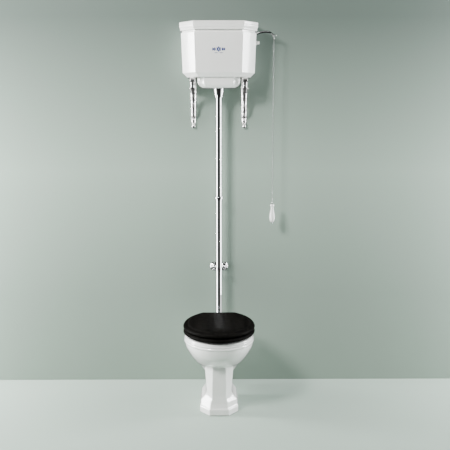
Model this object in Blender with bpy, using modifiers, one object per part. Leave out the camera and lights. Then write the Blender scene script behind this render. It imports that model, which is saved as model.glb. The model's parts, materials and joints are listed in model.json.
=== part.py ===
"""High-level toilet: pan and seat on the floor, cistern on wall brackets, flush pipe between them.

Metres, +Z up. The front faces -Y and the wall is the plane y = WALL_Y. The origin is on the floor,
on the centre line of the pan's foot.
"""

import math

import bmesh
import bpy
from mathutils import Matrix, Vector

# ---------------------------------------------------------------- driving dimensions
GAP = 0.0003                # clearance between touching pieces
WALL_Y = 0.347              # plane of the wall

PIPE_Y = 0.267              # axis of the flush pipe, the siphon and the lever's plane
PIPE_R = 0.016
PIPE_WALL = 0.0015
PIPE_BORE = PIPE_R + GAP    # bore of what goes round the pipe

RIM_Z = 0.415               # top of the pan's rim
RIM_MID_Y = -0.06           # widest line of bowl and seat
DECK_Z = 0.385              # underside of the rear deck
HORN_Z = 0.350              # axis of the flush inlet
HORN_END_Y = 0.205
SPIGOT_Z = 0.185            # axis of the soil outlet
SPIGOT_END_Y = 0.262
PASSAGE_R = 0.034           # bore of the trap
POCKET_CANT = 0.035         # canted corners of the hollow in the foot

PAN_SCREW_X = 0.084
PAN_SCREW_Y = 0.030

SEAT_HALF = 0.190           # half width of seat and lid
SEAT_FRONT_Y = -0.268
SEAT_BACK_Y = 0.151
SEAT_REACH_Y = 0.189        # where the oval would close behind its straight back edge
SEAT_Z = 0.425              # underside of the seat ring
SEAT_TOP_Z = 0.445
LID_Z = 0.452               # underside of the seat lid
HINGE_Y = 0.165
HINGE_Z = 0.4485
HINGE_BAR_R = 0.006
POST_X = 0.085

CISTERN_TOP_Z = 2.0155      # rim of the cistern body
CISTERN_HALF = 0.2035
CISTERN_FRONT_Y = 0.152
CANT = 0.0735               # canted corners of the cistern
CISTERN_WALL = 0.009
WELL_FLOOR_Z = 1.7135       # outside of the well's floor
WELL_TOP_Z = WELL_FLOOR_Z + CISTERN_WALL
SIPHON_X = 0.062            # the siphon's chamber
BACK_NUT_Z = 1.7010

CISTERN_SCREW_X = 0.120
CISTERN_SCREW_Z = 1.965

BRACKET_X = 0.143
BRACKET_TOP_Z = 1.7695
BRACKET_FOOT_Z = 1.515

LEVER_PIVOT_X = 0.155
LEVER_PIVOT_Z = 1.996
ROD_X = 0.076               # siphon rod and the lever's inner eye
ROD_EYE_Z = 1.939
LEVER_EYE_Z = 1.979
CHAIN_X = 0.302             # the lever's outer eye and the chain
CHAIN_EYE_Z = 1.997
CHAIN_TOP_Z = 1.9735
CHAIN_END_Z = 1.1040
CHAIN_R = 0.0035
SPINDLE_EYE_Z = 1.0760

VALVE_Y = 0.246             # fill valve and float arm
VALVE_Z = 1.955
ARM_PIVOT_X = 0.138
ARM_LENGTH = 0.220
ARM_DROP = math.radians(16)
FLOAT_R = 0.042

CLIP_Z = 0.695
CLIP_X = 0.0285
BAND_HALF = 0.0021          # half thickness of the clip's band
STEM_SHOULDER = WALL_Y - PIPE_Y - BAND_HALF - GAP
STEM_TIP = WALL_Y - PIPE_Y + 0.013
COUPLING_Z = 1.105

ROUND = 20                  # sides of a turned piece
FINE = 40                   # points round an oval outline

# ---------------------------------------------------------------- scene and materials


def clear_scene():
    for obj in list(bpy.data.objects):
        bpy.data.objects.remove(obj, do_unlink=True)


clear_scene()
PARTS = bpy.data.collections.new("high_level_toilet")
CUTTERS = bpy.data.collections.new("cutters")
bpy.context.scene.collection.children.link(PARTS)
bpy.context.scene.collection.children.link(CUTTERS)


def make_material(name, colour, roughness, metallic=0.0):
    material = bpy.data.materials.new(name)
    material.use_nodes = True
    shader = material.node_tree.nodes["Principled BSDF"]
    shader.inputs["Base Color"].default_value = (*colour, 1.0)
    shader.inputs["Roughness"].default_value = roughness
    shader.inputs["Metallic"].default_value = metallic
    material.diffuse_color = (*colour, 1.0)
    return material


CHINA = make_material("white_china", (0.90, 0.90, 0.88), 0.10)
CHROME = make_material("chrome", (0.80, 0.81, 0.82), 0.08, 1.0)
CASTING = make_material("bright_casting", (0.72, 0.72, 0.71), 0.25, 1.0)
LACQUER = make_material("black_lacquer", (0.010, 0.009, 0.008), 0.12)
RUBBER = make_material("grey_rubber", (0.20, 0.20, 0.20), 0.70)
PLASTIC = make_material("white_plastic", (0.86, 0.86, 0.84), 0.40)
BRASS = make_material("brass", (0.70, 0.52, 0.25), 0.30, 1.0)

# ---------------------------------------------------------------- modelling helpers


def place(obj, material=None, collection=PARTS):
    """Links an object to its collection and gives it its material."""
    collection.objects.link(obj)
    if material:
        obj.data.materials.clear()
        obj.data.materials.append(material)
    if collection is CUTTERS:
        obj.hide_render = True
        obj.display_type = "WIRE"
    return obj


def from_bmesh(name, bm, material, collection=PARTS, smooth=True):
    bmesh.ops.recalc_face_normals(bm, faces=bm.faces)
    mesh = bpy.data.meshes.new(name)
    bm.to_mesh(mesh)
    bm.free()
    if smooth:
        mesh.shade_smooth()
        mesh.set_sharp_from_angle(angle=math.radians(35))
    return place(bpy.data.objects.new(name, mesh), material, collection)


def box(name, low, high, material=None, collection=PARTS):
    """A block between two corners."""
    bm = bmesh.new()
    bmesh.ops.create_cube(bm, size=1.0)
    low, high = Vector(low), Vector(high)
    size = high - low
    bm.transform(Matrix.Translation((low + high) / 2) @ Matrix.Diagonal((*size, 1.0)))
    return from_bmesh(name, bm, material, collection, smooth=False)


AXES = {
    "x": Matrix.Rotation(math.radians(90), 4, "Y"),
    "y": Matrix.Rotation(math.radians(-90), 4, "X"),
    "z": Matrix.Identity(4),
}


def rod(name, start, axis, length, radius, material=None, collection=PARTS, sides=ROUND, end_radius=None):
    """A cylinder or cone from a start point along +X, +Y or +Z."""
    bm = bmesh.new()
    bmesh.ops.create_cone(
        bm,
        cap_ends=True,
        segments=sides,
        radius1=radius,
        radius2=radius if end_radius is None else end_radius,
        depth=length,
    )
    shift = Matrix.Translation((0, 0, length / 2))
    bm.transform(Matrix.Translation(start) @ AXES[axis] @ shift)
    return from_bmesh(name, bm, material, collection)


def rod_tool(name, start, axis, length, radius, sides=16):
    """A rod that is only there to be cut away or joined on."""
    return rod(name, start, axis, length, radius, collection=CUTTERS, sides=sides)


def box_tool(name, low, high):
    return box(name, low, high, collection=CUTTERS)


def ball(name, centre, radius, material=None, collection=PARTS, sides=16, rings=10):
    bm = bmesh.new()
    bmesh.ops.create_uvsphere(bm, u_segments=sides, v_segments=rings, radius=radius)
    bm.transform(Matrix.Translation(centre))
    return from_bmesh(name, bm, material, collection)


def turned(name, start, axis, profile, material=None, collection=PARTS, sides=ROUND):
    """A ring turned from a closed profile of (radius, height) points round an axis through start."""
    mesh = bpy.data.meshes.new(name)
    count = len(profile)
    area = sum(
        profile[i][0] * profile[(i + 1) % count][1] - profile[(i + 1) % count][0] * profile[i][1]
        for i in range(count)
    )
    points = profile if area < 0 else profile[::-1]
    mesh.from_pydata(
        [(r, 0.0, z) for r, z in points], [(i, (i + 1) % count) for i in range(count)], []
    )
    obj = place(bpy.data.objects.new(name, mesh), material, collection)
    obj.matrix_world = Matrix.Translation(start) @ AXES[axis]
    screw = obj.modifiers.new("turn", "SCREW")
    screw.steps = screw.render_steps = sides
    screw.merge_threshold = 0.00001
    screw.use_merge_vertices = True
    screw.use_normal_flip = False
    return obj


def ring(name, start, axis, inner, outer, length, material=None, collection=PARTS, sides=ROUND):
    profile = [(inner, 0.0), (outer, 0.0), (outer, length), (inner, length)]
    return turned(name, start, axis, profile, material, collection, sides)


def loft(name, loops, material=None, collection=PARTS, closed=False, capped=True):
    """Skins a list of equal-length loops. closed joins the last loop to the first."""
    bm = bmesh.new()
    rows = [[bm.verts.new(p) for p in loop] for loop in loops]
    count = len(rows[0])
    pairs = list(zip(rows, rows[1:] + rows[:1])) if closed else list(zip(rows, rows[1:]))
    for low, high in pairs:
        for i in range(count):
            j = (i + 1) % count
            bm.faces.new((low[i], low[j], high[j], high[i]))
    if capped and not closed:
        bm.faces.new(rows[0])
        bm.faces.new(rows[-1])
    return from_bmesh(name, bm, material, collection)


def tube(
    name, points, radius, material=None, collection=PARTS, cyclic=False, radii=None, sides=2, caps=True
):
    """A round wire or bar along points."""
    curve = bpy.data.curves.new(name, "CURVE")
    curve.dimensions = "3D"
    curve.bevel_depth = radius
    curve.bevel_resolution = sides
    curve.use_fill_caps = caps and not cyclic
    spline = curve.splines.new("POLY")
    spline.points.add(len(points) - 1)
    for index, point in enumerate(points):
        spline.points[index].co = (*point, 1.0)
        spline.points[index].radius = radii[index] if radii else 1.0
    spline.use_cyclic_u = cyclic
    return place(bpy.data.objects.new(name, curve), material, collection)


def as_mesh(obj, material=None):
    """Turns a curve object into a mesh object of the same name, with its caps welded."""
    depsgraph = bpy.context.evaluated_depsgraph_get()
    mesh = bpy.data.meshes.new_from_object(obj.evaluated_get(depsgraph))
    bm = bmesh.new()
    bm.from_mesh(mesh)
    bmesh.ops.remove_doubles(bm, verts=bm.verts, dist=0.00001)
    bmesh.ops.recalc_face_normals(bm, faces=bm.faces)
    bm.to_mesh(mesh)
    bm.free()
    name, matrix = obj.name, obj.matrix_world.copy()
    collection = CUTTERS if obj.name in CUTTERS.objects else PARTS
    bpy.data.objects.remove(obj, do_unlink=True)
    made = place(bpy.data.objects.new(name, mesh), material, collection)
    made.matrix_world = matrix
    return made


def combine(obj, tool, operation):
    modifier = obj.modifiers.new(f"{operation.lower()}_{tool.name}", "BOOLEAN")
    modifier.object = tool
    modifier.operation = operation
    modifier.solver = "EXACT"


def join(obj, *tools):
    for tool in tools:
        combine(obj, tool, "UNION")


def cut(obj, *tools):
    for tool in tools:
        combine(obj, tool, "DIFFERENCE")


def smooth_path(points, per_span):
    """Points along a Catmull-Rom curve through the given ones."""
    points = [Vector(p) for p in points]
    first = points[0] * 2 - points[1]
    last = points[-1] * 2 - points[-2]
    ends = [first, *points, last]
    path = []
    for a, b, c, d in zip(ends, ends[1:], ends[2:], ends[3:]):
        slope = c - a
        bend = 2 * a - 5 * b + 4 * c - d
        twist = 3 * b - a - 3 * c + d
        for step in range(per_span):
            t = step / per_span
            path.append(b + 0.5 * (slope * t + bend * t**2 + twist * t**3))
    return [*path, points[-1]]


def arc(centre, radius, start, end, steps, plane):
    """Points on an arc, in degrees, in the plane of two axis names such as 'yz'."""
    out = []
    for i in range(steps + 1):
        angle = math.radians(start + (end - start) * i / steps)
        point = list(centre)
        point["xyz".index(plane[0])] += radius * math.cos(angle)
        point["xyz".index(plane[1])] += radius * math.sin(angle)
        out.append(tuple(point))
    return out


def wire_loop(name, x, top, bottom, half, radius, material):
    """A closed wire link in the YZ plane whose bars pass through the pieces that it joins."""
    points = arc((x, PIPE_Y, top - half), half, 0, 180, 6, "yz")
    points += arc((x, PIPE_Y, bottom + half), half, 180, 360, 6, "yz")
    return tube(name, points, radius, material, cyclic=True, sides=1)


# ---------------------------------------------------------------- outlines


def oval(half, front, back, z, count=FINE, flat_back=math.inf):
    """A rounded outline whose widest line is RIM_MID_Y. flat_back cuts it straight at that y."""
    points = []
    for i in range(count):
        angle = 2 * math.pi * i / count
        x = half * math.sin(angle)
        reach = (RIM_MID_Y - front) if math.cos(angle) > 0 else (back - RIM_MID_Y)
        y = RIM_MID_Y - reach * math.cos(angle)
        points.append((x, min(y, flat_back), z))
    return points


def octagon(half, front, back, cant_x, cant_y, z):
    return [
        (-half + cant_x, front, z),
        (half - cant_x, front, z),
        (half, front + cant_y, z),
        (half, back - cant_y, z),
        (half - cant_x, back, z),
        (-half + cant_x, back, z),
        (-half, back - cant_y, z),
        (-half, front + cant_y, z),
    ]


def canted(half, front, back, cant, z):
    """The cistern's outline: flat against the wall, with two canted front corners."""
    return [
        (-half + cant, front, z),
        (half - cant, front, z),
        (half, front + cant, z),
        (half, back, z),
        (-half, back, z),
        (-half, front + cant, z),
    ]


# ---------------------------------------------------------------- pan

# height, half width, front, back
BOWL_OUTSIDE = (
    (0.205, 0.072, -0.080, 0.080),
    (0.225, 0.086, -0.105, 0.092),
    (0.2456, 0.101, -0.132, 0.100),
    (0.260, 0.114, -0.156, 0.104),
    (0.275, 0.128, -0.182, 0.108),
    (0.300, 0.146, -0.213, 0.114),
    (0.3265, 0.162, -0.237, 0.119),
    (0.350, 0.175, -0.247, 0.123),
    (0.368, 0.180, -0.251, 0.125),
    (0.384, 0.181, -0.252, 0.125),
    (0.390, 0.185, -0.256, 0.127),
    (RIM_Z, 0.185, -0.256, 0.127),
)
BOWL_INSIDE = (
    (0.110, 0.030, -0.075, 0.000),
    (0.150, 0.036, -0.085, -0.004),
    (0.200, 0.060, -0.093, 0.018),
    (0.260, 0.099, -0.134, 0.056),
    (0.300, 0.132, -0.196, 0.084),
    (0.345, 0.158, -0.228, 0.100),
    (0.375, 0.162, -0.232, 0.103),
    (0.381, 0.138, -0.208, 0.079),
    (0.425, 0.134, -0.204, 0.075),
)
# height, half width, front, back, cant across, cant along
PEDESTAL = (
    (0.000, 0.1015, -0.174, 0.116, 0.0505, 0.060),
    (0.032, 0.1015, -0.174, 0.116, 0.0505, 0.060),
    (0.040, 0.0975, -0.169, 0.112, 0.0515, 0.060),
    (0.062, 0.0960, -0.163, 0.108, 0.0520, 0.060),
    (0.085, 0.0800, -0.160, 0.106, 0.0430, 0.052),
    (0.105, 0.0690, -0.158, 0.106, 0.0325, 0.044),
    (0.125, 0.0665, -0.158, 0.112, 0.0300, 0.038),
    (0.145, 0.0675, -0.158, 0.128, 0.0310, 0.038),
    (0.165, 0.0685, -0.158, 0.128, 0.0320, 0.038),
    (0.200, 0.0715, -0.158, 0.140, 0.0375, 0.038),
    (0.245, 0.0740, -0.158, 0.140, 0.0400, 0.038),
    (0.300, 0.0700, -0.130, 0.105, 0.0400, 0.038),
)
DECK = (
    (-0.150, 0.020), (0.150, 0.020), (0.128, 0.150),
    (0.100, 0.187), (-0.100, 0.187), (-0.128, 0.150),
)
TRAP_PATH = (
    (0.0, -0.046, 0.150),
    (0.0, -0.043, 0.108),
    (0.0, -0.016, 0.078),
    (0.0, 0.022, 0.082),
    (0.0, 0.052, 0.116),
    (0.0, 0.078, 0.162),
    (0.0, 0.108, 0.190),
    (0.0, 0.145, 0.194),
    (0.0, 0.190, 0.187),
    (0.0, 0.275, 0.185),
)


def foot_pocket(name, inner, outer):
    """A hollow under the front of the foot, between two y planes, narrowing upwards."""
    loops = []
    for z, half, reach in ((-0.01, 0.076, 0.0), (0.040, 0.072, 0.003), (0.085, 0.042, 0.020)):
        edge = outer + reach
        loops.append(
            [
                (-half, inner, z),
                (-half, edge + POCKET_CANT, z),
                (-half + POCKET_CANT, edge, z),
                (half - POCKET_CANT, edge, z),
                (half, edge + POCKET_CANT, z),
                (half, inner, z),
            ]
        )
    return loft(name, loops, collection=CUTTERS)


def build_pan():
    pan = loft("pan", [oval(h, f, b, z) for z, h, f, b in BOWL_OUTSIDE], CHINA)
    pedestal = loft(
        "pedestal", [octagon(h, f, b, cx, cy, z) for z, h, f, b, cx, cy in PEDESTAL], collection=CUTTERS
    )
    deck = loft(
        "deck", [[(x, y, z) for x, y in DECK] for z in (DECK_Z, RIM_Z)], collection=CUTTERS
    )
    horn = rod_tool("horn", (0, 0.09, HORN_Z), "y", HORN_END_Y - 0.09, 0.028, sides=ROUND)
    spigot = rod_tool("spigot", (0, 0.09, SPIGOT_Z), "y", SPIGOT_END_Y - 0.09, 0.050, sides=32)
    join(pan, pedestal, deck, horn, spigot)

    bowl = loft("bowl", [oval(h, f, b, z, 32) for z, h, f, b in BOWL_INSIDE], collection=CUTTERS)
    passage = as_mesh(tube("passage", smooth_path(TRAP_PATH, 2), PASSAGE_R, collection=CUTTERS, sides=4))
    inlet = rod_tool("inlet", (0, 0.085, HORN_Z), "y", 0.125, 0.0195, sides=ROUND)
    pocket = foot_pocket("foot_pocket", -0.092, -0.160)
    cut(pan, bowl, passage, inlet, pocket)
    for side, x in (("left", -POST_X), ("right", POST_X)):
        cut(pan, rod_tool(f"post_hole_{side}", (x, HINGE_Y, 0.37), "z", 0.06, 0.0055))
    for side, x in (("left", -PAN_SCREW_X), ("right", PAN_SCREW_X)):
        cut(pan, rod_tool(f"screw_hole_{side}", (x, PAN_SCREW_Y, -0.01), "z", 0.1, 0.0040))
        cut(pan, rod_tool(f"screw_seat_{side}", (x, PAN_SCREW_Y, 0.045), "z", 0.1, 0.0095))


def screw(name, tip, axis, length, shank, head, head_height, material, sides=12):
    """A screw from its tip along an axis, with a low domed head."""
    profile = [
        (0.0, 0.0),
        (shank, 0.0),
        (shank, length),
        (head, length),
        (head, length + head_height * 0.5),
        (head * 0.6, length + head_height),
        (0.0, length + head_height),
    ]
    mesh = bpy.data.meshes.new(name)
    points = profile[::-1]
    mesh.from_pydata([(r, 0.0, z) for r, z in points], [(i, i + 1) for i in range(len(points) - 1)], [])
    obj = place(bpy.data.objects.new(name, mesh), material)
    obj.matrix_world = Matrix.Translation(tip) @ axis
    turn = obj.modifiers.new("turn", "SCREW")
    turn.steps = turn.render_steps = sides
    turn.merge_threshold = 0.00001
    turn.use_merge_vertices = True
    return obj


TO_FRONT = Matrix.Rotation(math.radians(90), 4, "X")     # local +Z looks along -Y
UPWARDS = Matrix.Identity(4)


def build_pan_screws():
    for side, x in (("left", -PAN_SCREW_X), ("right", PAN_SCREW_X)):
        screw(f"pan_screw_{side}", (x, PAN_SCREW_Y, 0.001), UPWARDS, 0.0445, 0.0035, 0.008, 0.006, CHROME)


# ---------------------------------------------------------------- seat


def build_seat():
    def outline(share, z):
        """An outline between the ring's outer edge (0) and its opening (1)."""
        outer = oval(SEAT_HALF, SEAT_FRONT_Y, SEAT_REACH_Y, z, FINE, SEAT_BACK_Y)
        inner = oval(0.115, -0.190, 0.075, z, FINE)
        return [Vector(a).lerp(Vector(b), share) for a, b in zip(outer, inner)]

    section = (
        (0.06, SEAT_Z), (0.0, 0.431), (0.0, 0.439), (0.06, SEAT_TOP_Z),
        (0.90, SEAT_TOP_Z), (1.0, 0.439), (1.0, 0.430), (0.93, SEAT_Z),
    )
    loft("seat_ring", [outline(share, z) for share, z in section], LACQUER, closed=True)


def build_lid():
    def outline(inset, z):
        half, front, back = SEAT_HALF - inset, SEAT_FRONT_Y + inset, SEAT_REACH_Y - inset
        return oval(half, front, back, z, FINE, SEAT_BACK_Y - inset)

    section = (
        (0.006, LID_Z), (0.0, 0.457), (0.0, 0.463), (0.007, 0.4695),
        (0.022, 0.471), (0.027, 0.477), (0.036, 0.480),
    )
    loft("seat_lid", [outline(inset, z) for inset, z in section], LACQUER)


def hinge_bore(name, x):
    return rod_tool(name, (x - 0.02, HINGE_Y, HINGE_Z), "x", 0.04, HINGE_BAR_R + GAP, sides=ROUND)


def strap(name, x, plate_low, plate_high, tip_y):
    """A knuckle round the hinge bar with a flat plate reaching forward."""
    half = 0.010
    knuckle = rod(name, (x - half, HINGE_Y, HINGE_Z), "x", 2 * half, 0.0085, CHROME)
    plate = box_tool(
        f"{name}_plate", (x - half, tip_y, plate_low), (x + half, HINGE_Y - 0.003, plate_high)
    )
    join(knuckle, plate)
    cut(knuckle, hinge_bore(f"{name}_bore", x))


def build_hinge():
    rod("hinge_bar", (-0.098, HINGE_Y, HINGE_Z), "x", 0.196, HINGE_BAR_R, CHROME)
    for side, sign in (("left", -1), ("right", 1)):
        x = sign * POST_X
        post = turned(
            f"hinge_post_{side}",
            (x, HINGE_Y, 0.0),
            "z",
            [
                (0.0, 0.362), (0.0045, 0.362), (0.0045, RIM_Z + GAP), (0.015, RIM_Z + GAP),
                (0.015, 0.419), (0.0085, 0.422), (0.0085, HINGE_Z), (0.0, HINGE_Z),
            ],
            CHROME,
            sides=20,
        )
        head = rod_tool(
            f"post_head_{side}", (x - 0.0075, HINGE_Y, HINGE_Z), "x", 0.015, 0.0105, sides=ROUND
        )
        join(post, head)
        cut(post, hinge_bore(f"post_bore_{side}", x))
        ring(f"hinge_nut_{side}", (x, HINGE_Y, 0.3725), "z", 0.0048, 0.013, 0.0120, PLASTIC, sides=16)
        strap(f"seat_strap_{side}", sign * 0.060, SEAT_TOP_Z + GAP, 0.4478, 0.106)
        strap(f"lid_strap_{side}", sign * 0.030, 0.4492, LID_Z - GAP, 0.090)


def buffer(name, x, y, low, high, radius):
    rod(name, (x, y, low + GAP), "z", high - low - 2 * GAP, radius, RUBBER, sides=16)


def build_buffers():
    for name, x, y in (
        ("front_left", -0.085, -0.200), ("front_right", 0.085, -0.200),
        ("rear_left", -0.130, 0.045), ("rear_right", 0.130, 0.045),
    ):
        buffer(f"seat_buffer_{name}", x, y, RIM_Z, SEAT_Z, 0.009)
    for side, x in (("left", -0.075), ("right", 0.075)):
        buffer(f"lid_buffer_{side}", x, -0.215, SEAT_TOP_Z, LID_Z, 0.007)


# ---------------------------------------------------------------- cistern


# half width, front, back, cant, height
CISTERN_OUTSIDE = (
    (0.0835, 0.213, 0.322, 0.0220, WELL_FLOOR_Z),
    (0.1045, 0.198, 0.334, 0.0320, 1.7230),
    (0.1155, 0.191, 0.341, 0.0350, 1.7450),
    (0.1175, 0.189, WALL_Y, 0.0360, 1.7700),
    (0.1730, 0.178, WALL_Y, 0.0660, 1.7702),
    (0.1960, 0.158, WALL_Y, 0.0710, 1.7930),
    (CISTERN_HALF, CISTERN_FRONT_Y, WALL_Y, CANT, 2.0000),
    (CISTERN_HALF, CISTERN_FRONT_Y, WALL_Y, CANT, CISTERN_TOP_Z),
)
CISTERN_INSIDE = (
    (0.0800, 0.2160, 0.319, 0.0210, WELL_TOP_Z),
    (0.0960, 0.2070, 0.326, 0.0295, 1.7300),
    (0.1065, 0.2000, 0.332, 0.0315, 1.7480),
    (0.1085, 0.1980, 0.338, 0.0322, 1.7790),
    (0.1660, 0.1870, 0.338, 0.0615, 1.7792),
    (0.1865, 0.1675, 0.338, 0.0670, 1.7965),
    (0.1945, 0.1610, 0.338, 0.0682, 2.0000),
    (0.1945, 0.1610, 0.338, 0.0682, 2.0300),
)


def build_cistern():
    body = loft("cistern_body", [canted(*row) for row in CISTERN_OUTSIDE], CHINA)
    cut(body, loft("cistern_hollow", [canted(*row) for row in CISTERN_INSIDE], collection=CUTTERS))
    cut(
        body,
        rod_tool("outlet_hole", (0, PIPE_Y, 1.70), "z", 0.04, 0.0208, sides=ROUND),
        rod_tool("valve_hole", (0.180, VALVE_Y, VALVE_Z), "x", 0.04, 0.0083),
        box_tool("lever_slot", (0.185, 0.260, 1.9735), (0.215, 0.274, 2.05)),
    )
    for side, x in (("left", -CISTERN_SCREW_X), ("right", CISTERN_SCREW_X)):
        cut(body, rod_tool(f"fixing_hole_{side}", (x, 0.32, CISTERN_SCREW_Z), "y", 0.05, 0.003))
        tip = (x, WALL_Y - GAP, CISTERN_SCREW_Z)
        screw(f"cistern_screw_{side}", tip, TO_FRONT, 0.0090, 0.0026, 0.006, 0.004, CHROME)


def build_cistern_lid():
    seat = CISTERN_TOP_Z + GAP
    back = WALL_Y - 0.001
    loops = [
        canted(0.176, 0.180, 0.318, 0.060, 2.048),
        canted(0.180, 0.176, 0.322, 0.062, 2.007),
        canted(0.1925, 0.1635, 0.3365, 0.067, 2.007),
        canted(0.1925, 0.1635, 0.3365, 0.067, seat),
        canted(0.2065, 0.149, back, 0.0745, seat),
        canted(0.2070, 0.1485, back, 0.0745, 2.024),
        canted(0.2115, 0.144, back, 0.0765, 2.032),
        canted(0.2125, 0.143, back, 0.0775, 2.036),
        canted(0.2125, 0.143, back, 0.0775, 2.056),
        canted(0.2090, 0.1465, back, 0.0760, 2.0600),
    ]
    lid = loft("cistern_lid", loops, CHINA)
    cut(lid, box_tool("lever_notch", (0.135, 0.240, 2.00), (0.2000, 0.294, seat)))


# height, half width, depth
BRACKET_LEG = (
    (BRACKET_FOOT_Z, 0.0110, 0.010),
    (1.560, 0.0125, 0.012),
    (1.700, 0.0140, 0.012),
    (BRACKET_TOP_Z, 0.0160, 0.012),
)
BRACE_PATH = (
    (0, 0.204, 1.752),
    (0, 0.216, 1.722),
    (0, 0.246, 1.704),
    (0, 0.276, 1.682),
    (0, 0.296, 1.640),
    (0, 0.310, 1.590),
    (0, 0.341, 1.556),
)
BRACKET_SCREWS = (("upper", 1.7350), ("lower", 1.5420))


def build_bracket(side, x):
    """A cast bracket: a leg on the wall, an arm under the cistern, an S brace and a scroll."""
    top = BRACKET_TOP_Z
    leg = loft(
        f"bracket_{side}",
        [
            [(x - h, WALL_Y - d, z), (x + h, WALL_Y - d, z), (x + h, WALL_Y, z), (x - h, WALL_Y, z)]
            for z, h, d in BRACKET_LEG
        ],
        CASTING,
    )
    arm = box_tool(f"arm_{side}", (x - 0.0125, 0.196, top - 0.011), (x + 0.0125, WALL_Y - 0.004, top))
    nose = rod_tool(f"nose_{side}", (x - 0.0125, 0.198, top - 0.013), "x", 0.025, 0.013)
    end_centre = (x, WALL_Y - 0.0115, BRACKET_FOOT_Z - 0.007)
    ball_end = ball(f"ball_{side}", end_centre, 0.011, collection=CUTTERS, sides=12, rings=8)
    brace_points = [(x, p.y, p.z) for p in smooth_path(BRACE_PATH, 2)]
    brace = as_mesh(tube(f"brace_{side}", brace_points, 0.0075, collection=CUTTERS))
    scroll_points = arc((x, 0.307, 1.732), 0.026, 0, 330, 11, "yz")
    scroll = as_mesh(tube(f"scroll_{side}", scroll_points, 0.0055, collection=CUTTERS, cyclic=True))
    join(leg, arm, nose, ball_end, brace, scroll)
    for level, z in BRACKET_SCREWS:
        cut(
            leg,
            rod_tool(f"hole_{side}_{level}", (x, 0.31, z), "y", 0.05, 0.0032, sides=12),
            rod_tool(f"room_{side}_{level}", (x, 0.30, z), "y", 0.0360, 0.0066, sides=12),
        )
        tip = (x, WALL_Y - GAP, z)
        screw(f"bracket_screw_{side}_{level}", tip, TO_FRONT, 0.0112, 0.0028, 0.0058, 0.003, CASTING)


def build_brackets():
    build_bracket("left", -BRACKET_X)
    build_bracket("right", BRACKET_X)


# ---------------------------------------------------------------- flushing gear in the cistern


def build_siphon():
    siphon = rod("siphon_body", (SIPHON_X, PIPE_Y, 1.743), "z", 0.102, 0.026, PLASTIC)
    crown = [
        (0.052, PIPE_Y, 1.835),
        (0.052, PIPE_Y, 1.875),
        *arc((0.026, PIPE_Y, 1.875), 0.026, 15, 165, 10, "xz"),
        (0.0, PIPE_Y, 1.875),
    ]
    duct_path = [*crown, (0.0, PIPE_Y, 1.7275)]
    duct = as_mesh(tube("duct", duct_path, 0.0155, collection=CUTTERS, sides=4))
    flange = rod_tool("flange", (0, PIPE_Y, WELL_TOP_Z + 0.0036), "z", 0.004, 0.031, sides=ROUND)
    tail = rod_tool("tail", (0, PIPE_Y, 1.690), "z", 0.038, 0.0205, sides=ROUND)
    join(siphon, duct, flange, tail)
    chamber = rod_tool("chamber", (SIPHON_X, PIPE_Y, 1.735), "z", 0.1075, 0.0235, sides=ROUND)
    bore_path = [*crown, (0.0, PIPE_Y, 1.680)]
    bore = as_mesh(tube("duct_bore", bore_path, 0.0130, collection=CUTTERS, sides=4))
    guide = rod_tool("rod_guide", (ROD_X, PIPE_Y, 1.83), "z", 0.03, 0.0032, sides=12)
    cut(siphon, chamber, bore, guide)
    ring("siphon_washer", (0, PIPE_Y, WELL_TOP_Z + GAP), "z", 0.0209, 0.031, 0.0030, RUBBER)
    nut_height = WELL_FLOOR_Z - GAP - BACK_NUT_Z
    ring("siphon_back_nut", (0, PIPE_Y, BACK_NUT_Z), "z", 0.0209, 0.0262, nut_height, PLASTIC)


def build_siphon_piston():
    piston = rod("siphon_piston", (SIPHON_X, PIPE_Y, 1.7555), "z", 0.004, 0.0225, PLASTIC)
    stem = rod_tool("stem", (ROD_X, PIPE_Y, 1.7575), "z", 0.176, 0.0025, sides=10)
    eye_start = (ROD_X, PIPE_Y - 0.0022, ROD_EYE_Z)
    eye = ring("rod_eye", eye_start, "y", 0.0040, 0.0065, 0.0044, collection=CUTTERS, sides=16)
    join(piston, stem, eye)


LEVER_PATH = (
    (ROD_X + 0.005, PIPE_Y, LEVER_EYE_Z + 0.002),
    (0.112, PIPE_Y, 1.988),
    (LEVER_PIVOT_X, PIPE_Y, LEVER_PIVOT_Z),
    (0.198, PIPE_Y, 2.0030),
    (0.232, PIPE_Y, 2.0130),
    (0.262, PIPE_Y, 2.0165),
    (0.284, PIPE_Y, 2.0110),
    (CHAIN_X - 0.0045, PIPE_Y, CHAIN_EYE_Z + 0.0042),
)


# share of the full radius at each point of the path
LEVER_SHARES = (0.60, 0.70, 0.80, 0.78, 0.95, 1.00, 0.80, 0.60)


def build_lever():
    points = smooth_path(LEVER_PATH, 2)
    radii = [share for share in LEVER_SHARES for _ in range(2)][: len(points)]
    lever = as_mesh(tube("flush_lever", points, 0.0056, CHROME, radii=radii), CHROME)
    join(lever, rod_tool("boss", (LEVER_PIVOT_X, PIPE_Y - 0.007, LEVER_PIVOT_Z), "y", 0.014, 0.0085))
    eyes = (("inner", ROD_X, LEVER_EYE_Z), ("outer", CHAIN_X, CHAIN_EYE_Z))
    for name, x, z in eyes:
        join(lever, rod_tool(f"eye_{name}", (x, PIPE_Y - 0.0025, z), "y", 0.005, 0.0070))
    for name, x, z in eyes:
        cut(lever, rod_tool(f"eye_hole_{name}", (x, PIPE_Y - 0.02, z), "y", 0.04, 0.0040))
    cut(lever, rod_tool("pivot_hole", (LEVER_PIVOT_X, PIPE_Y - 0.02, LEVER_PIVOT_Z), "y", 0.04, 0.0033))
    wire_loop("lift_link", ROD_X, LEVER_EYE_Z, ROD_EYE_Z, 0.0052, 0.0013, CHROME)


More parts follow.
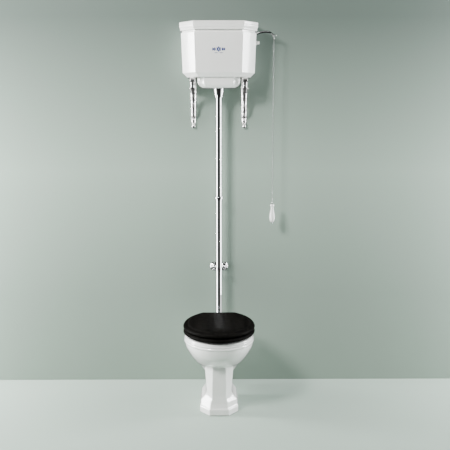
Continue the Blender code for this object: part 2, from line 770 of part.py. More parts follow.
def build_lever_bracket():
    """A plate inside the cistern's side wall with two cheeks that carry the lever's pin."""
    plate = box("lever_bracket", (0.1890, 0.246, 1.974), (0.1930, 0.288, 2.006), CASTING)
    for name, y in (("front", 0.2530), ("back", 0.2780)):
        low = (LEVER_PIVOT_X - 0.009, y, LEVER_PIVOT_Z - 0.009)
        high = (0.1910, y + 0.003, LEVER_PIVOT_Z + 0.009)
        join(plate, box_tool(f"cheek_{name}", low, high))
    cut(
        plate,
        box_tool("bracket_slot", (0.18, 0.2585, 1.9755), (0.20, 0.2755, 2.02)),
        rod_tool("bracket_bore", (LEVER_PIVOT_X, 0.24, LEVER_PIVOT_Z), "y", 0.06, 0.0033),
    )
    rod("lever_pin", (LEVER_PIVOT_X, 0.2505, LEVER_PIVOT_Z), "y", 0.033, 0.0030, CHROME, sides=16)


def build_fill_valve():
    body = rod("fill_valve_body", (0.150, VALVE_Y, VALVE_Z), "x", 0.0380, 0.0110, PLASTIC)
    join(
        body,
        rod_tool("valve_flange", (0.1868, VALVE_Y, VALVE_Z), "x", 0.0030, 0.0145, sides=ROUND),
        rod_tool("valve_tail", (0.186, VALVE_Y, VALVE_Z), "x", 0.0355, 0.0080, sides=ROUND),
    )
    for name, y in (("front", VALVE_Y - 0.0100), ("back", VALVE_Y + 0.0070)):
        low = (ARM_PIVOT_X - 0.006, y, VALVE_Z - 0.0055)
        high = (0.156, y + 0.003, VALVE_Z + 0.0055)
        join(body, box_tool(f"lug_{name}", low, high))
    cut(
        body,
        rod_tool("piston_bore", (0.140, VALVE_Y, VALVE_Z), "x", 0.026, 0.0055),
        rod_tool("water_way", (0.160, VALVE_Y, VALVE_Z), "x", 0.08, 0.0035, sides=12),
        rod_tool("lug_bore", (ARM_PIVOT_X, 0.22, VALVE_Z), "y", 0.04, 0.0029, sides=12),
    )
    ring("fill_valve_washer", (0.1901, VALVE_Y, VALVE_Z), "x", 0.0083, 0.0135, 0.0019, RUBBER)
    ring("fill_valve_nut", (0.2027, VALVE_Y, VALVE_Z), "x", 0.0083, 0.0108, 0.0070, PLASTIC)
    rod("valve_piston", (0.1446, VALVE_Y, VALVE_Z), "x", 0.0150, 0.0050, BRASS, sides=16)


def build_float():
    """The arm and ball as they hang in an empty cistern."""
    direction = Vector((-math.cos(ARM_DROP), 0.0, -math.sin(ARM_DROP)))
    pivot = Vector((ARM_PIVOT_X, VALVE_Y, VALVE_Z))
    centre = pivot + direction * ARM_LENGTH
    arm_line = [pivot + direction * 0.004, centre - direction * 0.020]
    arm = as_mesh(tube("float_arm", arm_line, 0.0022, BRASS), BRASS)
    join(
        arm,
        rod_tool("arm_boss", (ARM_PIVOT_X, VALVE_Y - 0.0060, VALVE_Z), "y", 0.0120, 0.0060),
        rod_tool("arm_pin", (ARM_PIVOT_X, VALVE_Y - 0.0115, VALVE_Z), "y", 0.0230, 0.0026, sides=12),
    )
    bulb = ball("float_ball", centre, FLOAT_R, PLASTIC, sides=20, rings=12)
    socket_line = [centre - direction * 0.060, centre - direction * 0.016]
    cut(bulb, as_mesh(tube("float_socket", socket_line, 0.0026, collection=CUTTERS)))


# ---------------------------------------------------------------- chain and pull


def build_chain():
    wire_loop("chain_hook", CHAIN_X, CHAIN_EYE_Z, CHAIN_TOP_Z + 0.0016, 0.0048, 0.0012, CHROME)
    steps = 24
    drop = (CHAIN_TOP_Z - CHAIN_END_Z) / steps
    points = [(CHAIN_X, PIPE_Y, CHAIN_TOP_Z - drop * i) for i in range(steps + 1)]
    tube("pull_chain", points, CHAIN_R, CHROME)
    wire_loop("handle_ring", CHAIN_X, CHAIN_END_Z - GAP - 0.0012, SPINDLE_EYE_Z, 0.0050, 0.0012, CHROME)


# radius, height
HANDLE_PROFILE = (
    (0.0022, 1.0685), (0.0085, 1.0685), (0.0118, 1.0650), (0.0118, 1.0560),
    (0.0085, 1.0500), (0.0090, 1.0400), (0.0125, 1.0220), (0.0155, 1.0040),
    (0.0150, 0.9880), (0.0110, 0.9720), (0.0070, 0.9665), (0.0022, 0.9665),
)


def build_pull_handle():
    """A turned handle on a thin spindle with an eye above it and a bead below it."""
    spindle = rod("handle_spindle", (CHAIN_X, PIPE_Y, 0.9620), "z", 0.1095, 0.0018, CHROME, sides=10)
    eye_start = (CHAIN_X, PIPE_Y - 0.0015, SPINDLE_EYE_Z)
    join(
        spindle,
        ring("spindle_eye", eye_start, "y", 0.0036, 0.0058, 0.003, collection=CUTTERS, sides=16),
        ball("spindle_foot", (CHAIN_X, PIPE_Y, 0.9615), 0.0038, collection=CUTTERS, sides=12, rings=8),
    )
    turned("pull_handle", (CHAIN_X, PIPE_Y, 0.0), "z", HANDLE_PROFILE, CHINA, sides=16)


# ---------------------------------------------------------------- flush pipe


def pipe(name, points):
    """A chrome tube along points, open at both ends."""
    obj = as_mesh(tube(name, points, PIPE_R, CHROME, sides=4, caps=False), CHROME)
    bm = bmesh.new()
    bm.from_mesh(obj.data)
    bm.faces.ensure_lookup_table()
    face = bm.faces[0]
    nearest = min((Vector(p) for p in points), key=lambda p: (face.calc_center_median() - p).length)
    middle = face.calc_center_median() - nearest
    if face.normal.dot(middle) < 0:
        bmesh.ops.reverse_faces(bm, faces=bm.faces)
    bm.to_mesh(obj.data)
    bm.free()
    shell = obj.modifiers.new("wall", "SOLIDIFY")
    shell.thickness = PIPE_WALL
    shell.offset = -1.0
    return obj


def build_flush_pipe():
    pipe("flush_pipe_upper", [(0, PIPE_Y, 1.6880), (0, PIPE_Y, 1.400), (0, PIPE_Y, COUPLING_Z + GAP)])
    bend = 0.045
    corner = (0, PIPE_Y - bend, HORN_Z + bend)
    elbow = arc(corner, bend, 0, -90, 8, "yz")
    top = (0, PIPE_Y, COUPLING_Z - GAP)
    pipe("flush_pipe_lower", [top, (0, PIPE_Y, 0.760), *elbow, (0, 0.190, HORN_Z)])


# radius, height: a low sleeve with a band round its middle
COUPLING_PROFILE = (
    (PIPE_BORE, -0.012), (0.0185, -0.012), (0.0190, -0.004), (0.0225, -0.004),
    (0.0225, 0.004), (0.0190, 0.004), (0.0185, 0.010), (PIPE_BORE, 0.010),
)
CONE_NUT_PROFILE = (
    (0.0268, 1.7130), (0.0300, 1.7130), (0.0290, 1.7060), (0.0264, 1.6900), (0.0232, 1.6700),
    (0.0225, 1.6630), (PIPE_BORE, 1.6630), (PIPE_BORE, 1.6860), (0.0212, 1.6865),
    (0.0216, 1.6930), (0.0268, 1.7000),
)
# radius, distance from y = 0
FLUSH_CONE_PROFILE = (
    (0.0283, 0.1860), (0.0315, 0.1860), (0.0325, 0.2050), (0.0305, 0.2100), (0.0215, 0.2150),
    (0.0205, 0.2200), (PIPE_BORE, 0.2200), (PIPE_BORE, 0.2053), (0.0283, 0.2053),
)


def build_pipe_fittings():
    turned("pipe_coupling", (0, PIPE_Y, COUPLING_Z), "z", COUPLING_PROFILE, CHROME)
    turned("outlet_cone_nut", (0, PIPE_Y, 0), "z", CONE_NUT_PROFILE, CHROME)
    turned("flush_cone", (0, 0, HORN_Z), "y", FLUSH_CONE_PROFILE, RUBBER)


# radius, distance from the wall
STEM_PROFILE = (
    (0.0, 0.0), (0.0250, 0.0), (0.0250, -0.003), (0.0180, -0.007), (0.0085, -0.010), (0.0050, -0.016),
    (0.0050, -STEM_SHOULDER), (0.0030, -STEM_SHOULDER), (0.0030, -STEM_TIP), (0.0, -STEM_TIP),
)
# radius, distance from the band's front
CLIP_NUT_PROFILE = (
    (0.0033, 0.0), (0.0075, 0.0), (0.0075, -0.0040), (0.0055, -0.0095), (0.0033, -0.0105),
)


def build_clip_stem(side, x):
    turned(f"clip_stem_{side}", (x, WALL_Y, CLIP_Z), "y", STEM_PROFILE, CHROME)
    front = (x, PIPE_Y - BAND_HALF - GAP, CLIP_Z)
    turned(f"clip_nut_{side}", front, "y", CLIP_NUT_PROFILE, CHROME, sides=16)


def build_clip():
    """A band on the pipe, carried by two stems that stand on round wall rosettes."""
    low, high = CLIP_Z - 0.007, CLIP_Z + 0.007
    band = rod("clip_band", (0, PIPE_Y, low), "z", high - low, 0.0188, CHROME)
    wing = 0.0365
    wings = box_tool("clip_wings", (-wing, PIPE_Y - BAND_HALF, low), (wing, PIPE_Y + BAND_HALF, high))
    join(band, wings)
    cut(band, rod_tool("clip_bore", (0, PIPE_Y, CLIP_Z - 0.02), "z", 0.04, PIPE_BORE, sides=ROUND))
    for side, x in (("left", -CLIP_X), ("right", CLIP_X)):
        cut(band, rod_tool(f"clip_hole_{side}", (x, PIPE_Y - 0.01, CLIP_Z), "y", 0.02, 0.0033, sides=12))
        build_clip_stem(side, x)


build_pan()
build_pan_screws()
build_seat()
build_lid()
build_hinge()
build_buffers()
build_cistern()
build_cistern_lid()
build_brackets()
build_siphon()
build_siphon_piston()
build_lever()
build_lever_bracket()
build_fill_valve()
build_float()
build_chain()
build_pull_handle()
build_flush_pipe()
build_pipe_fittings()
build_clip()
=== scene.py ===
"""High-level toilet: materials, detailed pieces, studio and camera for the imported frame.

Metres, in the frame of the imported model: +Z up, the front faces -Y, the wall is the plane
y = WALL_Y and the origin is on the floor, on the centre line of the pan's foot.
"""

import json
import math

import bmesh
import bpy
from mathutils import Matrix, Vector


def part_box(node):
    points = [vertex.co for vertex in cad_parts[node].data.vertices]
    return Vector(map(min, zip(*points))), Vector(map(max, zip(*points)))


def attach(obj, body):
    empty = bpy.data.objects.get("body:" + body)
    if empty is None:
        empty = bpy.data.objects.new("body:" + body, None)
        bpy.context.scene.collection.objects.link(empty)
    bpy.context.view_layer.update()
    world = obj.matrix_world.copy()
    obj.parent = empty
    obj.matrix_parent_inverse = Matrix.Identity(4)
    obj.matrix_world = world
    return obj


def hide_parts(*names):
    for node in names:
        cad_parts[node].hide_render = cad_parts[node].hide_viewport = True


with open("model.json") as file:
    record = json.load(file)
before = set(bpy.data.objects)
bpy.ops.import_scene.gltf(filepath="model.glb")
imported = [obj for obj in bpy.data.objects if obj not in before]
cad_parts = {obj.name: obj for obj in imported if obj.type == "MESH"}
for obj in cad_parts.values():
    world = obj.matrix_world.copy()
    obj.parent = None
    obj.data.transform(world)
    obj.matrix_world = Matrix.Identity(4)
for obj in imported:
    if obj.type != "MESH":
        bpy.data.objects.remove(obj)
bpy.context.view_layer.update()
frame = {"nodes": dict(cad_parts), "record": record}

# ---------------------------------------------------------------- shared dimensions

WALL_Y = 0.347
PIPE_Y = 0.267
PIPE_R = 0.016
PIPE_BORE = 0.0145
RIM_Z = 0.415
RIM_MID_Y = -0.06
HORN_Z = 0.350
SPIGOT_Z = 0.185

SEAT_HALF = 0.190
SEAT_FRONT_Y = -0.268
SEAT_BACK_Y = 0.151
SEAT_REACH_Y = 0.189
SEAT_TOP_Z = 0.445
HINGE_Y = 0.165
HINGE_Z = 0.4485
POST_X = 0.085

CISTERN_RIM_Z = 2.0155
BRACKET_X = 0.143
BRACKET_TOP_Z = 1.7695
BRACKET_FOOT_Z = 1.515

LEVER_PIVOT = Vector((0.155, PIPE_Y, 1.996))
LEVER_INNER_EYE = Vector((0.076, PIPE_Y, 1.979))
ROD_EYE = Vector((0.076, PIPE_Y, 1.939))
CHAIN_X = 0.302
CHAIN_EYE_Z = 1.997
CHAIN_TOP_Z = 1.9735
CHAIN_END_Z = 1.1040
CHAIN_LINKS = 30
SPINDLE_EYE_Z = 1.0760

CLIP_Z = 0.695
CLIP_X = 0.0285
COUPLING_Z = 1.105

SMOOTH_ANGLE = math.radians(35)

# ---------------------------------------------------------------- camera

CAMERA_PLACE = (0.0, -3.603, 1.535)
CAMERA_PITCH = 8.6          # degrees below level
CAMERA_YAW = 0.51           # degrees towards +X
CAMERA_LENS = 55.04


def make_camera():
    camera = bpy.data.objects.new("camera", bpy.data.cameras.new("camera"))
    camera.data.lens = CAMERA_LENS
    camera.data.sensor_width = 36.0
    camera.location = CAMERA_PLACE
    camera.rotation_euler = (math.radians(90 - CAMERA_PITCH), 0.0, math.radians(-CAMERA_YAW))
    bpy.context.scene.collection.objects.link(camera)
    bpy.context.scene.camera = camera


# ---------------------------------------------------------------- materials


def new_material(name, colour, roughness, metallic=0.0):
    material = bpy.data.materials.new(name)
    material.use_nodes = True
    shader = material.node_tree.nodes["Principled BSDF"]
    shader.inputs["Base Color"].default_value = (*colour, 1.0)
    shader.inputs["Roughness"].default_value = roughness
    shader.inputs["Metallic"].default_value = metallic
    return material, shader


def noise(material, scale, detail=3.0, stretch=(1.0, 1.0, 1.0)):
    """A noise texture's value output, in object coordinates."""
    nodes, links = material.node_tree.nodes, material.node_tree.links
    place = nodes.new("ShaderNodeTexCoord")
    mapping = nodes.new("ShaderNodeMapping")
    mapping.inputs["Scale"].default_value = stretch
    texture = nodes.new("ShaderNodeTexNoise")
    texture.inputs["Scale"].default_value = scale
    texture.inputs["Detail"].default_value = detail
    links.new(place.outputs["Object"], mapping.inputs["Vector"])
    links.new(mapping.outputs["Vector"], texture.inputs["Vector"])
    return texture.outputs["Fac"]


def vary_value(material, socket, source, low, high):
    """Drives a socket between two values by a 0 to 1 output."""
    spread = material.node_tree.nodes.new("ShaderNodeMapRange")
    spread.inputs["From Min"].default_value = 0.3
    spread.inputs["From Max"].default_value = 0.7
    spread.inputs["To Min"].default_value = low
    spread.inputs["To Max"].default_value = high
    material.node_tree.links.new(source, spread.inputs["Value"])
    material.node_tree.links.new(spread.outputs["Result"], socket)


def vary_colour(material, socket, source, low, high, start=0.35, end=0.65):
    """Drives a colour socket between two colours by a 0 to 1 output."""
    ramp = material.node_tree.nodes.new("ShaderNodeValToRGB")
    ramp.color_ramp.elements[0].position = start
    ramp.color_ramp.elements[0].color = (*low, 1.0)
    ramp.color_ramp.elements[1].position = end
    ramp.color_ramp.elements[1].color = (*high, 1.0)
    material.node_tree.links.new(source, ramp.inputs["Fac"])
    material.node_tree.links.new(ramp.outputs["Color"], socket)


def add_bump(material, shader, source, strength, distance):
    bump = material.node_tree.nodes.new("ShaderNodeBump")
    bump.inputs["Strength"].default_value = strength
    bump.inputs["Distance"].default_value = distance
    material.node_tree.links.new(source, bump.inputs["Height"])
    material.node_tree.links.new(bump.outputs["Normal"], shader.inputs["Normal"])


def china_material():
    """White glaze over vitreous china: a soft waviness and a hint of cloudiness in the white."""
    material, shader = new_material("white_glaze", (0.93, 0.93, 0.91), 0.10)
    shader.inputs["Coat Weight"].default_value = 0.6
    shader.inputs["Coat Roughness"].default_value = 0.03
    cloud = noise(material, 9.0, 4.0)
    vary_colour(material, shader.inputs["Base Color"], cloud, (0.910, 0.910, 0.890), (0.945, 0.945, 0.930))
    vary_value(material, shader.inputs["Roughness"], noise(material, 60.0, 4.0), 0.07, 0.15)
    add_bump(material, shader, noise(material, 28.0, 2.0), 0.10, 0.0010)
    return material


def chrome_material():
    material, shader = new_material("chrome_plate", (0.83, 0.84, 0.85), 0.04, 1.0)
    vary_value(material, shader.inputs["Roughness"], noise(material, 90.0, 5.0), 0.025, 0.060)
    vary_colour(
        material, shader.inputs["Base Color"], noise(material, 25.0), (0.79, 0.80, 0.81), (0.86, 0.87, 0.875)
    )
    add_bump(material, shader, noise(material, 400.0, 3.0), 0.04, 0.0002)
    return material


def casting_material():
    """A hand-polished casting: brighter and glossier in some patches, a little duller in others."""
    material, shader = new_material("bright_casting", (0.88, 0.87, 0.86), 0.30, 1.0)
    cloud = noise(material, 50.0, 4.0)
    vary_colour(material, shader.inputs["Base Color"], cloud, (0.80, 0.79, 0.77), (0.95, 0.94, 0.93))
    vary_value(material, shader.inputs["Roughness"], cloud, 0.38, 0.24)
    add_bump(material, shader, noise(material, 180.0, 4.0), 0.08, 0.0004)
    return material


def lacquer_material():
    """Black satin lacquer on timber: the grain just shows as long, shallow lines."""
    material, shader = new_material("black_lacquer", (0.005, 0.005, 0.004), 0.46)
    shader.inputs["IOR"].default_value = 1.30
    shader.inputs["Specular IOR Level"].default_value = 0.03
    grain = noise(material, 60.0, 6.0, (1.0, 0.06, 1.0))
    dark, light = (0.0030, 0.0029, 0.0027), (0.0070, 0.0065, 0.0058)
    vary_colour(material, shader.inputs["Base Color"], grain, dark, light)
    vary_value(material, shader.inputs["Roughness"], noise(material, 40.0, 4.0), 0.42, 0.50)
    add_bump(material, shader, grain, 0.04, 0.0004)
    return material


def rubber_material():
    material, shader = new_material("grey_rubber", (0.20, 0.20, 0.20), 0.70)
    cloud = noise(material, 120.0)
    vary_colour(material, shader.inputs["Base Color"], cloud, (0.15, 0.15, 0.15), (0.24, 0.24, 0.235))
    add_bump(material, shader, noise(material, 900.0, 2.0), 0.3, 0.0003)
    return material


def plastic_material():
    material, shader = new_material("white_plastic", (0.80, 0.80, 0.78), 0.38)
    cloud = noise(material, 45.0)
    vary_colour(material, shader.inputs["Base Color"], cloud, (0.76, 0.76, 0.735), (0.83, 0.83, 0.81))
    vary_value(material, shader.inputs["Roughness"], noise(material, 200.0), 0.30, 0.46)
    add_bump(material, shader, noise(material, 700.0, 2.0), 0.12, 0.0003)
    return material


def brass_material():
    material, shader = new_material("brass", (0.70, 0.52, 0.25), 0.28, 1.0)
    cloud = noise(material, 60.0, 5.0)
    vary_colour(material, shader.inputs["Base Color"], cloud, (0.55, 0.38, 0.17), (0.74, 0.56, 0.28))
    vary_value(material, shader.inputs["Roughness"], noise(material, 150.0), 0.20, 0.40)
    add_bump(material, shader, noise(material, 500.0), 0.1, 0.0003)
    return material


def blue_material():
    """Cobalt painted under the glaze."""
    material, shader = new_material("underglaze_blue", (0.06, 0.10, 0.30), 0.12)
    shader.inputs["Coat Weight"].default_value = 0.6
    shader.inputs["Coat Roughness"].default_value = 0.03
    speckle = noise(material, 500.0)
    vary_colour(material, shader.inputs["Base Color"], speckle, (0.03, 0.05, 0.20), (0.07, 0.10, 0.28))
    return material


MATERIALS = {
    "china": china_material(),
    "chrome": chrome_material(),
    "casting": casting_material(),
    "lacquer": lacquer_material(),
    "rubber": rubber_material(),
    "plastic": plastic_material(),
    "brass": brass_material(),
}
BLUE = blue_material()

# ---------------------------------------------------------------- mesh helpers

AXIS_CLEAR = 0.00001        # least radius of a turned profile
AXES = {
    "x": Matrix.Rotation(math.radians(90), 4, "Y"),
    "y": Matrix.Rotation(math.radians(-90), 4, "X"),
    "z": Matrix.Identity(4),
}


def new_object(name, bm):
    bmesh.ops.recalc_face_normals(bm, faces=bm.faces)
    mesh = bpy.data.meshes.new(name)
    bm.to_mesh(mesh)
    bm.free()
    mesh.shade_smooth()
    mesh.set_sharp_from_angle(angle=SMOOTH_ANGLE)
    obj = bpy.data.objects.new(name, mesh)
    bpy.context.scene.collection.objects.link(obj)
    return obj


def bake(obj):
    """Turns an object's modifiers into plain mesh."""
    depsgraph = bpy.context.evaluated_depsgraph_get()
    mesh = bpy.data.meshes.new_from_object(obj.evaluated_get(depsgraph))
    obj.modifiers.clear()
    obj.data = mesh
    return obj


def finish_piece(obj, slot, body, *nodes):
    """Gives a piece its material and its body, and hides the CAD nodes that it stands for."""
    obj.data.materials.clear()
    obj.data.materials.append(MATERIALS[slot])
    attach(obj, body)
    if nodes:
        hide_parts(*nodes)
    return obj


def add_loops(bm, loops, cyclic=False, caps=True):
    """Skins equal-length loops into bm. cyclic joins the last loop to the first."""
    rows = [[bm.verts.new(point) for point in loop] for loop in loops]
    count = len(rows[0])
    pairs = zip(rows, rows[1:] + rows[:1]) if cyclic else zip(rows, rows[1:])
    for low, high in pairs:
        for i in range(count):
            j = (i + 1) % count
            bm.faces.new((low[i], low[j], high[j], high[i]))
    if caps and not cyclic:
        bm.faces.new(rows[0])
        bm.faces.new(rows[-1])


def loft(name, loops, cyclic=False):
    bm = bmesh.new()
    add_loops(bm, loops, cyclic)
    return new_object(name, bm)


def rounded(points, radius, steps=4, closed=True):
    """Fillets the corners of a 2-D polyline."""
    points = [Vector(p) for p in points]
    out = []
    count = len(points)
    for i, corner in enumerate(points):
        if not closed and i in (0, count - 1):
            out.append(corner)
            continue
        before = points[i - 1] - corner
        after = points[(i + 1) % count] - corner
        reach = min(radius, before.length * 0.45, after.length * 0.45)
        start = corner + before.normalized() * reach
        end = corner + after.normalized() * reach
        for step in range(steps + 1):
            t = step / steps
            out.append((1 - t) ** 2 * start + 2 * t * (1 - t) * corner + t**2 * end)
    return out


def add_turned(bm, start, axis, profile, sides=48):
    """Adds a solid turned from a closed profile of (radius, height) to bm."""
    matrix = Matrix.Translation(start) @ AXES[axis]
    loops = []
    for i in range(sides):
        angle = 2 * math.pi * i / sides
        turn = Matrix.Rotation(angle, 4, "Z")
        loops.append([matrix @ turn @ Vector((max(r, AXIS_CLEAR), 0.0, z)) for r, z in profile])
    add_loops(bm, loops, cyclic=True)


def turned(name, start, axis, profile, fillet=0.0, sides=48):
    bm = bmesh.new()
    outline = rounded(profile, fillet) if fillet else [Vector(p) for p in profile]
    add_turned(bm, start, axis, outline, sides)
    return new_object(name, bm)


def smooth_path(points, per_span):
    """Points along a Catmull-Rom curve through the given ones."""
    points = [Vector(p) for p in points]
    ends = [points[0] * 2 - points[1], *points, points[-1] * 2 - points[-2]]
    path = []
    for a, b, c, d in zip(ends, ends[1:], ends[2:], ends[3:]):
        slope = c - a
        bend = 2 * a - 5 * b + 4 * c - d
        twist = 3 * b - a - 3 * c + d
        for step in range(per_span):
            t = step / per_span
            path.append(b + 0.5 * (slope * t + bend * t**2 + twist * t**3))
    return [*path, points[-1]]


def add_tube(bm, points, radii, sides=16, cyclic=False, flatten=1.0, side_way=(1.0, 0.0, 0.0)):
    """Adds a round bar along points. flatten scales it across side_way, which it stays square to."""
    points = [Vector(p) for p in points]
    radii = radii if isinstance(radii, (list, tuple)) else [radii] * len(points)
    side_way = Vector(side_way)
    loops = []
    for i, point in enumerate(points):
        before = points[i - 1] if (cyclic or i) else point
        after = points[(i + 1) % len(points)] if (cyclic or i < len(points) - 1) else point
        along = (after - before).normalized()
        across = (side_way - along * side_way.dot(along)).normalized()
        other = along.cross(across)
        loops.append(
            [
                point
                + across * (radii[i] * flatten * math.cos(2 * math.pi * k / sides))
                + other * (radii[i] * math.sin(2 * math.pi * k / sides))
                for k in range(sides)
            ]
        )
    add_loops(bm, loops, cyclic)


def tube(name, points, radii, **options):
    bm = bmesh.new()
    add_tube(bm, points, radii, **options)
    return new_object(name, bm)


def add_block(bm, low, high):
    low, high = Vector(low), Vector(high)
    size = high - low
    matrix = Matrix.Translation((low + high) / 2) @ Matrix.Diagonal((*size, 1.0))
    bmesh.ops.create_cube(bm, size=1.0, matrix=matrix)


def add_ball(bm, centre, radius, stretch=(1.0, 1.0, 1.0)):
    matrix = Matrix.Translation(centre) @ Matrix.Diagonal((*stretch, 1.0))
    bmesh.ops.create_uvsphere(bm, u_segments=32, v_segments=20, radius=radius, matrix=matrix)


def rounded_block(name, low, high, width):
    bm = bmesh.new()
    add_block(bm, low, high)
    obj = new_object(name, bm)
    add_bevel(obj, width)
    return bake(obj)


def add_bevel(obj, width, segments=4):
    bevel = obj.modifiers.new("soft_edges", "BEVEL")
    bevel.width = width
    bevel.segments = segments
    bevel.limit_method = "ANGLE"
    bevel.angle_limit = math.radians(12)
    bevel.harden_normals = True


def combine(obj, tool, operation):
    """Joins or cuts with a tool object, which is then removed."""
    modifier = obj.modifiers.new(operation.lower(), "BOOLEAN")
    modifier.object = tool
    modifier.operation = operation
    modifier.solver = "EXACT"
    bake(obj)
    bpy.data.objects.remove(tool, do_unlink=True)


def cast_together(obj, voxel, smoothing):
    """Remeshes overlapping shapes into one skin with small fillets where they meet."""
    remesh = obj.modifiers.new("skin", "REMESH")
    remesh.mode = "VOXEL"
    remesh.voxel_size = voxel
    remesh.use_smooth_shade = True
    smooth = obj.modifiers.new("fillets", "SMOOTH")
    smooth.factor = 0.5
    smooth.iterations = smoothing
    return bake(obj)


def arc(centre, radius, start, end, steps, plane):
    """Points on an arc, in degrees, in the plane of two axis names such as 'yz'."""
    out = []
    for i in range(steps + 1):
        angle = math.radians(start + (end - start) * i / steps)
        point = Vector(centre)
        point["xyz".index(plane[0])] += radius * math.cos(angle)
        point["xyz".index(plane[1])] += radius * math.sin(angle)
        out.append(point)
    return out


def oval(half, front, back, z, count=96, flat_back=math.inf):
    """A rounded outline whose widest line is RIM_MID_Y. flat_back cuts it straight at that y."""
    points = []
    for i in range(count):
        angle = 2 * math.pi * i / count
        reach = (RIM_MID_Y - front) if math.cos(angle) > 0 else (back - RIM_MID_Y)
        y = RIM_MID_Y - reach * math.cos(angle)
        points.append((half * math.sin(angle), min(y, flat_back), z))
    return points


def octagon(z, half, front, back, cant_x, cant_y):
    return [
        (-half + cant_x, front, z),
        (half - cant_x, front, z),
        (half, front + cant_y, z),
        (half, back - cant_y, z),
        (half - cant_x, back, z),
        (-half + cant_x, back, z),
        (-half, back - cant_y, z),
        (-half, front + cant_y, z),
    ]


def canted(half, front, back, cant, z):
    """The cistern's outline: flat against the wall, with two canted front corners."""
    return [
        (-half + cant, front, z),
        (half - cant, front, z),
        (half, front + cant, z),
        (half, back, z),
        (-half, back, z),
        (-half, front + cant, z),
    ]


def between_rows(table, per_span):
    """Rows of a table of numbers, with smooth rows between them."""
    width = len(table[0])
    columns = [smooth_values([row[i] for row in table], per_span) for i in range(width)]
    return list(zip(*columns))


def smooth_values(values, per_span):
    return [p.x for p in smooth_path([(v, 0.0, 0.0) for v in values], per_span)]


# ---------------------------------------------------------------- pan

# height, half width, front, back
BOWL_OUTSIDE = (
    (0.205, 0.072, -0.080, 0.080),
    (0.225, 0.086, -0.105, 0.092),
    (0.2456, 0.101, -0.132, 0.100),
    (0.260, 0.114, -0.156, 0.104),
    (0.275, 0.128, -0.182, 0.108),
    (0.300, 0.146, -0.213, 0.114),
    (0.3265, 0.162, -0.237, 0.119),
    (0.350, 0.175, -0.247, 0.123),
    (0.368, 0.180, -0.251, 0.125),
    (0.384, 0.181, -0.252, 0.125),
    (0.408, 0.181, -0.252, 0.125),
)
BOWL_INSIDE = (
    (0.110, 0.030, -0.075, 0.000),
    (0.150, 0.036, -0.085, -0.004),
    (0.200, 0.060, -0.093, 0.018),
    (0.260, 0.099, -0.134, 0.056),
    (0.300, 0.132, -0.196, 0.084),
    (0.345, 0.158, -0.228, 0.100),
    (0.375, 0.162, -0.232, 0.103),
    (0.425, 0.162, -0.232, 0.103),
)
# height, half width, front, back, cant across, cant along
PLINTH = (
    (0.000, 0.1015, -0.1740, 0.1160, 0.0505, 0.060),
    (0.031, 0.1015, -0.1740, 0.1160, 0.0505, 0.060),
    (0.036, 0.0985, -0.1705, 0.1130, 0.0512, 0.060),
    (0.040, 0.0975, -0.1690, 0.1120, 0.0515, 0.060),
)
PEDESTAL = (
    (0.062, 0.0960, -0.163, 0.108, 0.0520, 0.060),
    (0.070, 0.0925, -0.162, 0.107, 0.0500, 0.058),
    (0.085, 0.0800, -0.160, 0.106, 0.0430, 0.052),
    (0.105, 0.0690, -0.158, 0.106, 0.0325, 0.044),
    (0.125, 0.0665, -0.158, 0.112, 0.0300, 0.038),
    (0.145, 0.0675, -0.158, 0.128, 0.0310, 0.038),
    (0.165, 0.0685, -0.158, 0.128, 0.0320, 0.038),
    (0.200, 0.0715, -0.158, 0.140, 0.0375, 0.038),
    (0.245, 0.0740, -0.158, 0.140, 0.0400, 0.038),
    (0.300, 0.0700, -0.130, 0.105, 0.0400, 0.038),
)
DECK = (
    (-0.150, 0.020), (0.150, 0.020), (0.128, 0.150),
    (0.100, 0.187), (-0.100, 0.187), (-0.128, 0.150),
)
DECK_LOW_Z = 0.385
TRAP_PATH = (
    (0.0, -0.046, 0.150),
    (0.0, -0.043, 0.108),
    (0.0, -0.016, 0.078),
    (0.0, 0.022, 0.082),
    (0.0, 0.052, 0.116),
    (0.0, 0.078, 0.162),
    (0.0, 0.108, 0.190),
    (0.0, 0.145, 0.194),
    (0.0, 0.190, 0.187),
    (0.0, 0.275, 0.185),
)
# inset from the rim's outline, height
RIM_SECTION = (
    (0.0060, 0.3750), (0.0032, 0.3775), (0.0008, 0.3808), (-0.0004, 0.3845), (0.0008, 0.3882),
    (0.0030, 0.3905), (0.0031, 0.3925), (0.0010, 0.3945), (0.0000, 0.3980), (0.0010, 0.4015),
    (0.0028, 0.4035), (0.0026, 0.4060), (0.0024, 0.4105), (0.0040, 0.4138), (0.0080, 0.4150),
    (0.0420, 0.4150), (0.0462, 0.4138), (0.0488, 0.4105), (0.0497, 0.3920), (0.0482, 0.3840),
    (0.0440, 0.3812), (0.0200, 0.3812),
)


def build_pan_body():
    bm = bmesh.new()
    add_loops(bm, [oval(half, front, back, z) for z, half, front, back in between_rows(BOWL_OUTSIDE, 3)])
    add_loops(bm, [octagon(*row) for row in [*between_rows(PLINTH, 2), *between_rows(PEDESTAL, 3)]])
    add_loops(bm, [[(x, y, z) for x, y in DECK] for z in (DECK_LOW_Z, RIM_Z)])
    add_turned(bm, (0, 0, HORN_Z), "y", [(0.0, 0.09), (0.028, 0.09), (0.028, 0.205), (0.0, 0.205)])
    add_turned(bm, (0, 0, SPIGOT_Z), "y", [(0.0, 0.09), (0.050, 0.09), (0.050, 0.262), (0.0, 0.262)])
    body = cast_together(new_object("pan_body", bm), 0.0026, 3)

    bm = bmesh.new()
    add_loops(bm, [oval(half, front, back, z) for z, half, front, back in between_rows(BOWL_INSIDE, 3)])
    combine(body, new_object("bowl_cut", bm), "DIFFERENCE")
    passage = tube("passage_cut", smooth_path(TRAP_PATH, 5), 0.034, sides=32)
    combine(body, passage, "DIFFERENCE")
    inlet = tube("inlet_cut", [(0, 0.085, HORN_Z), (0, 0.215, HORN_Z)], 0.0195, sides=32)
    combine(body, inlet, "DIFFERENCE")
    finish_piece(body, "china", "root", "pan")


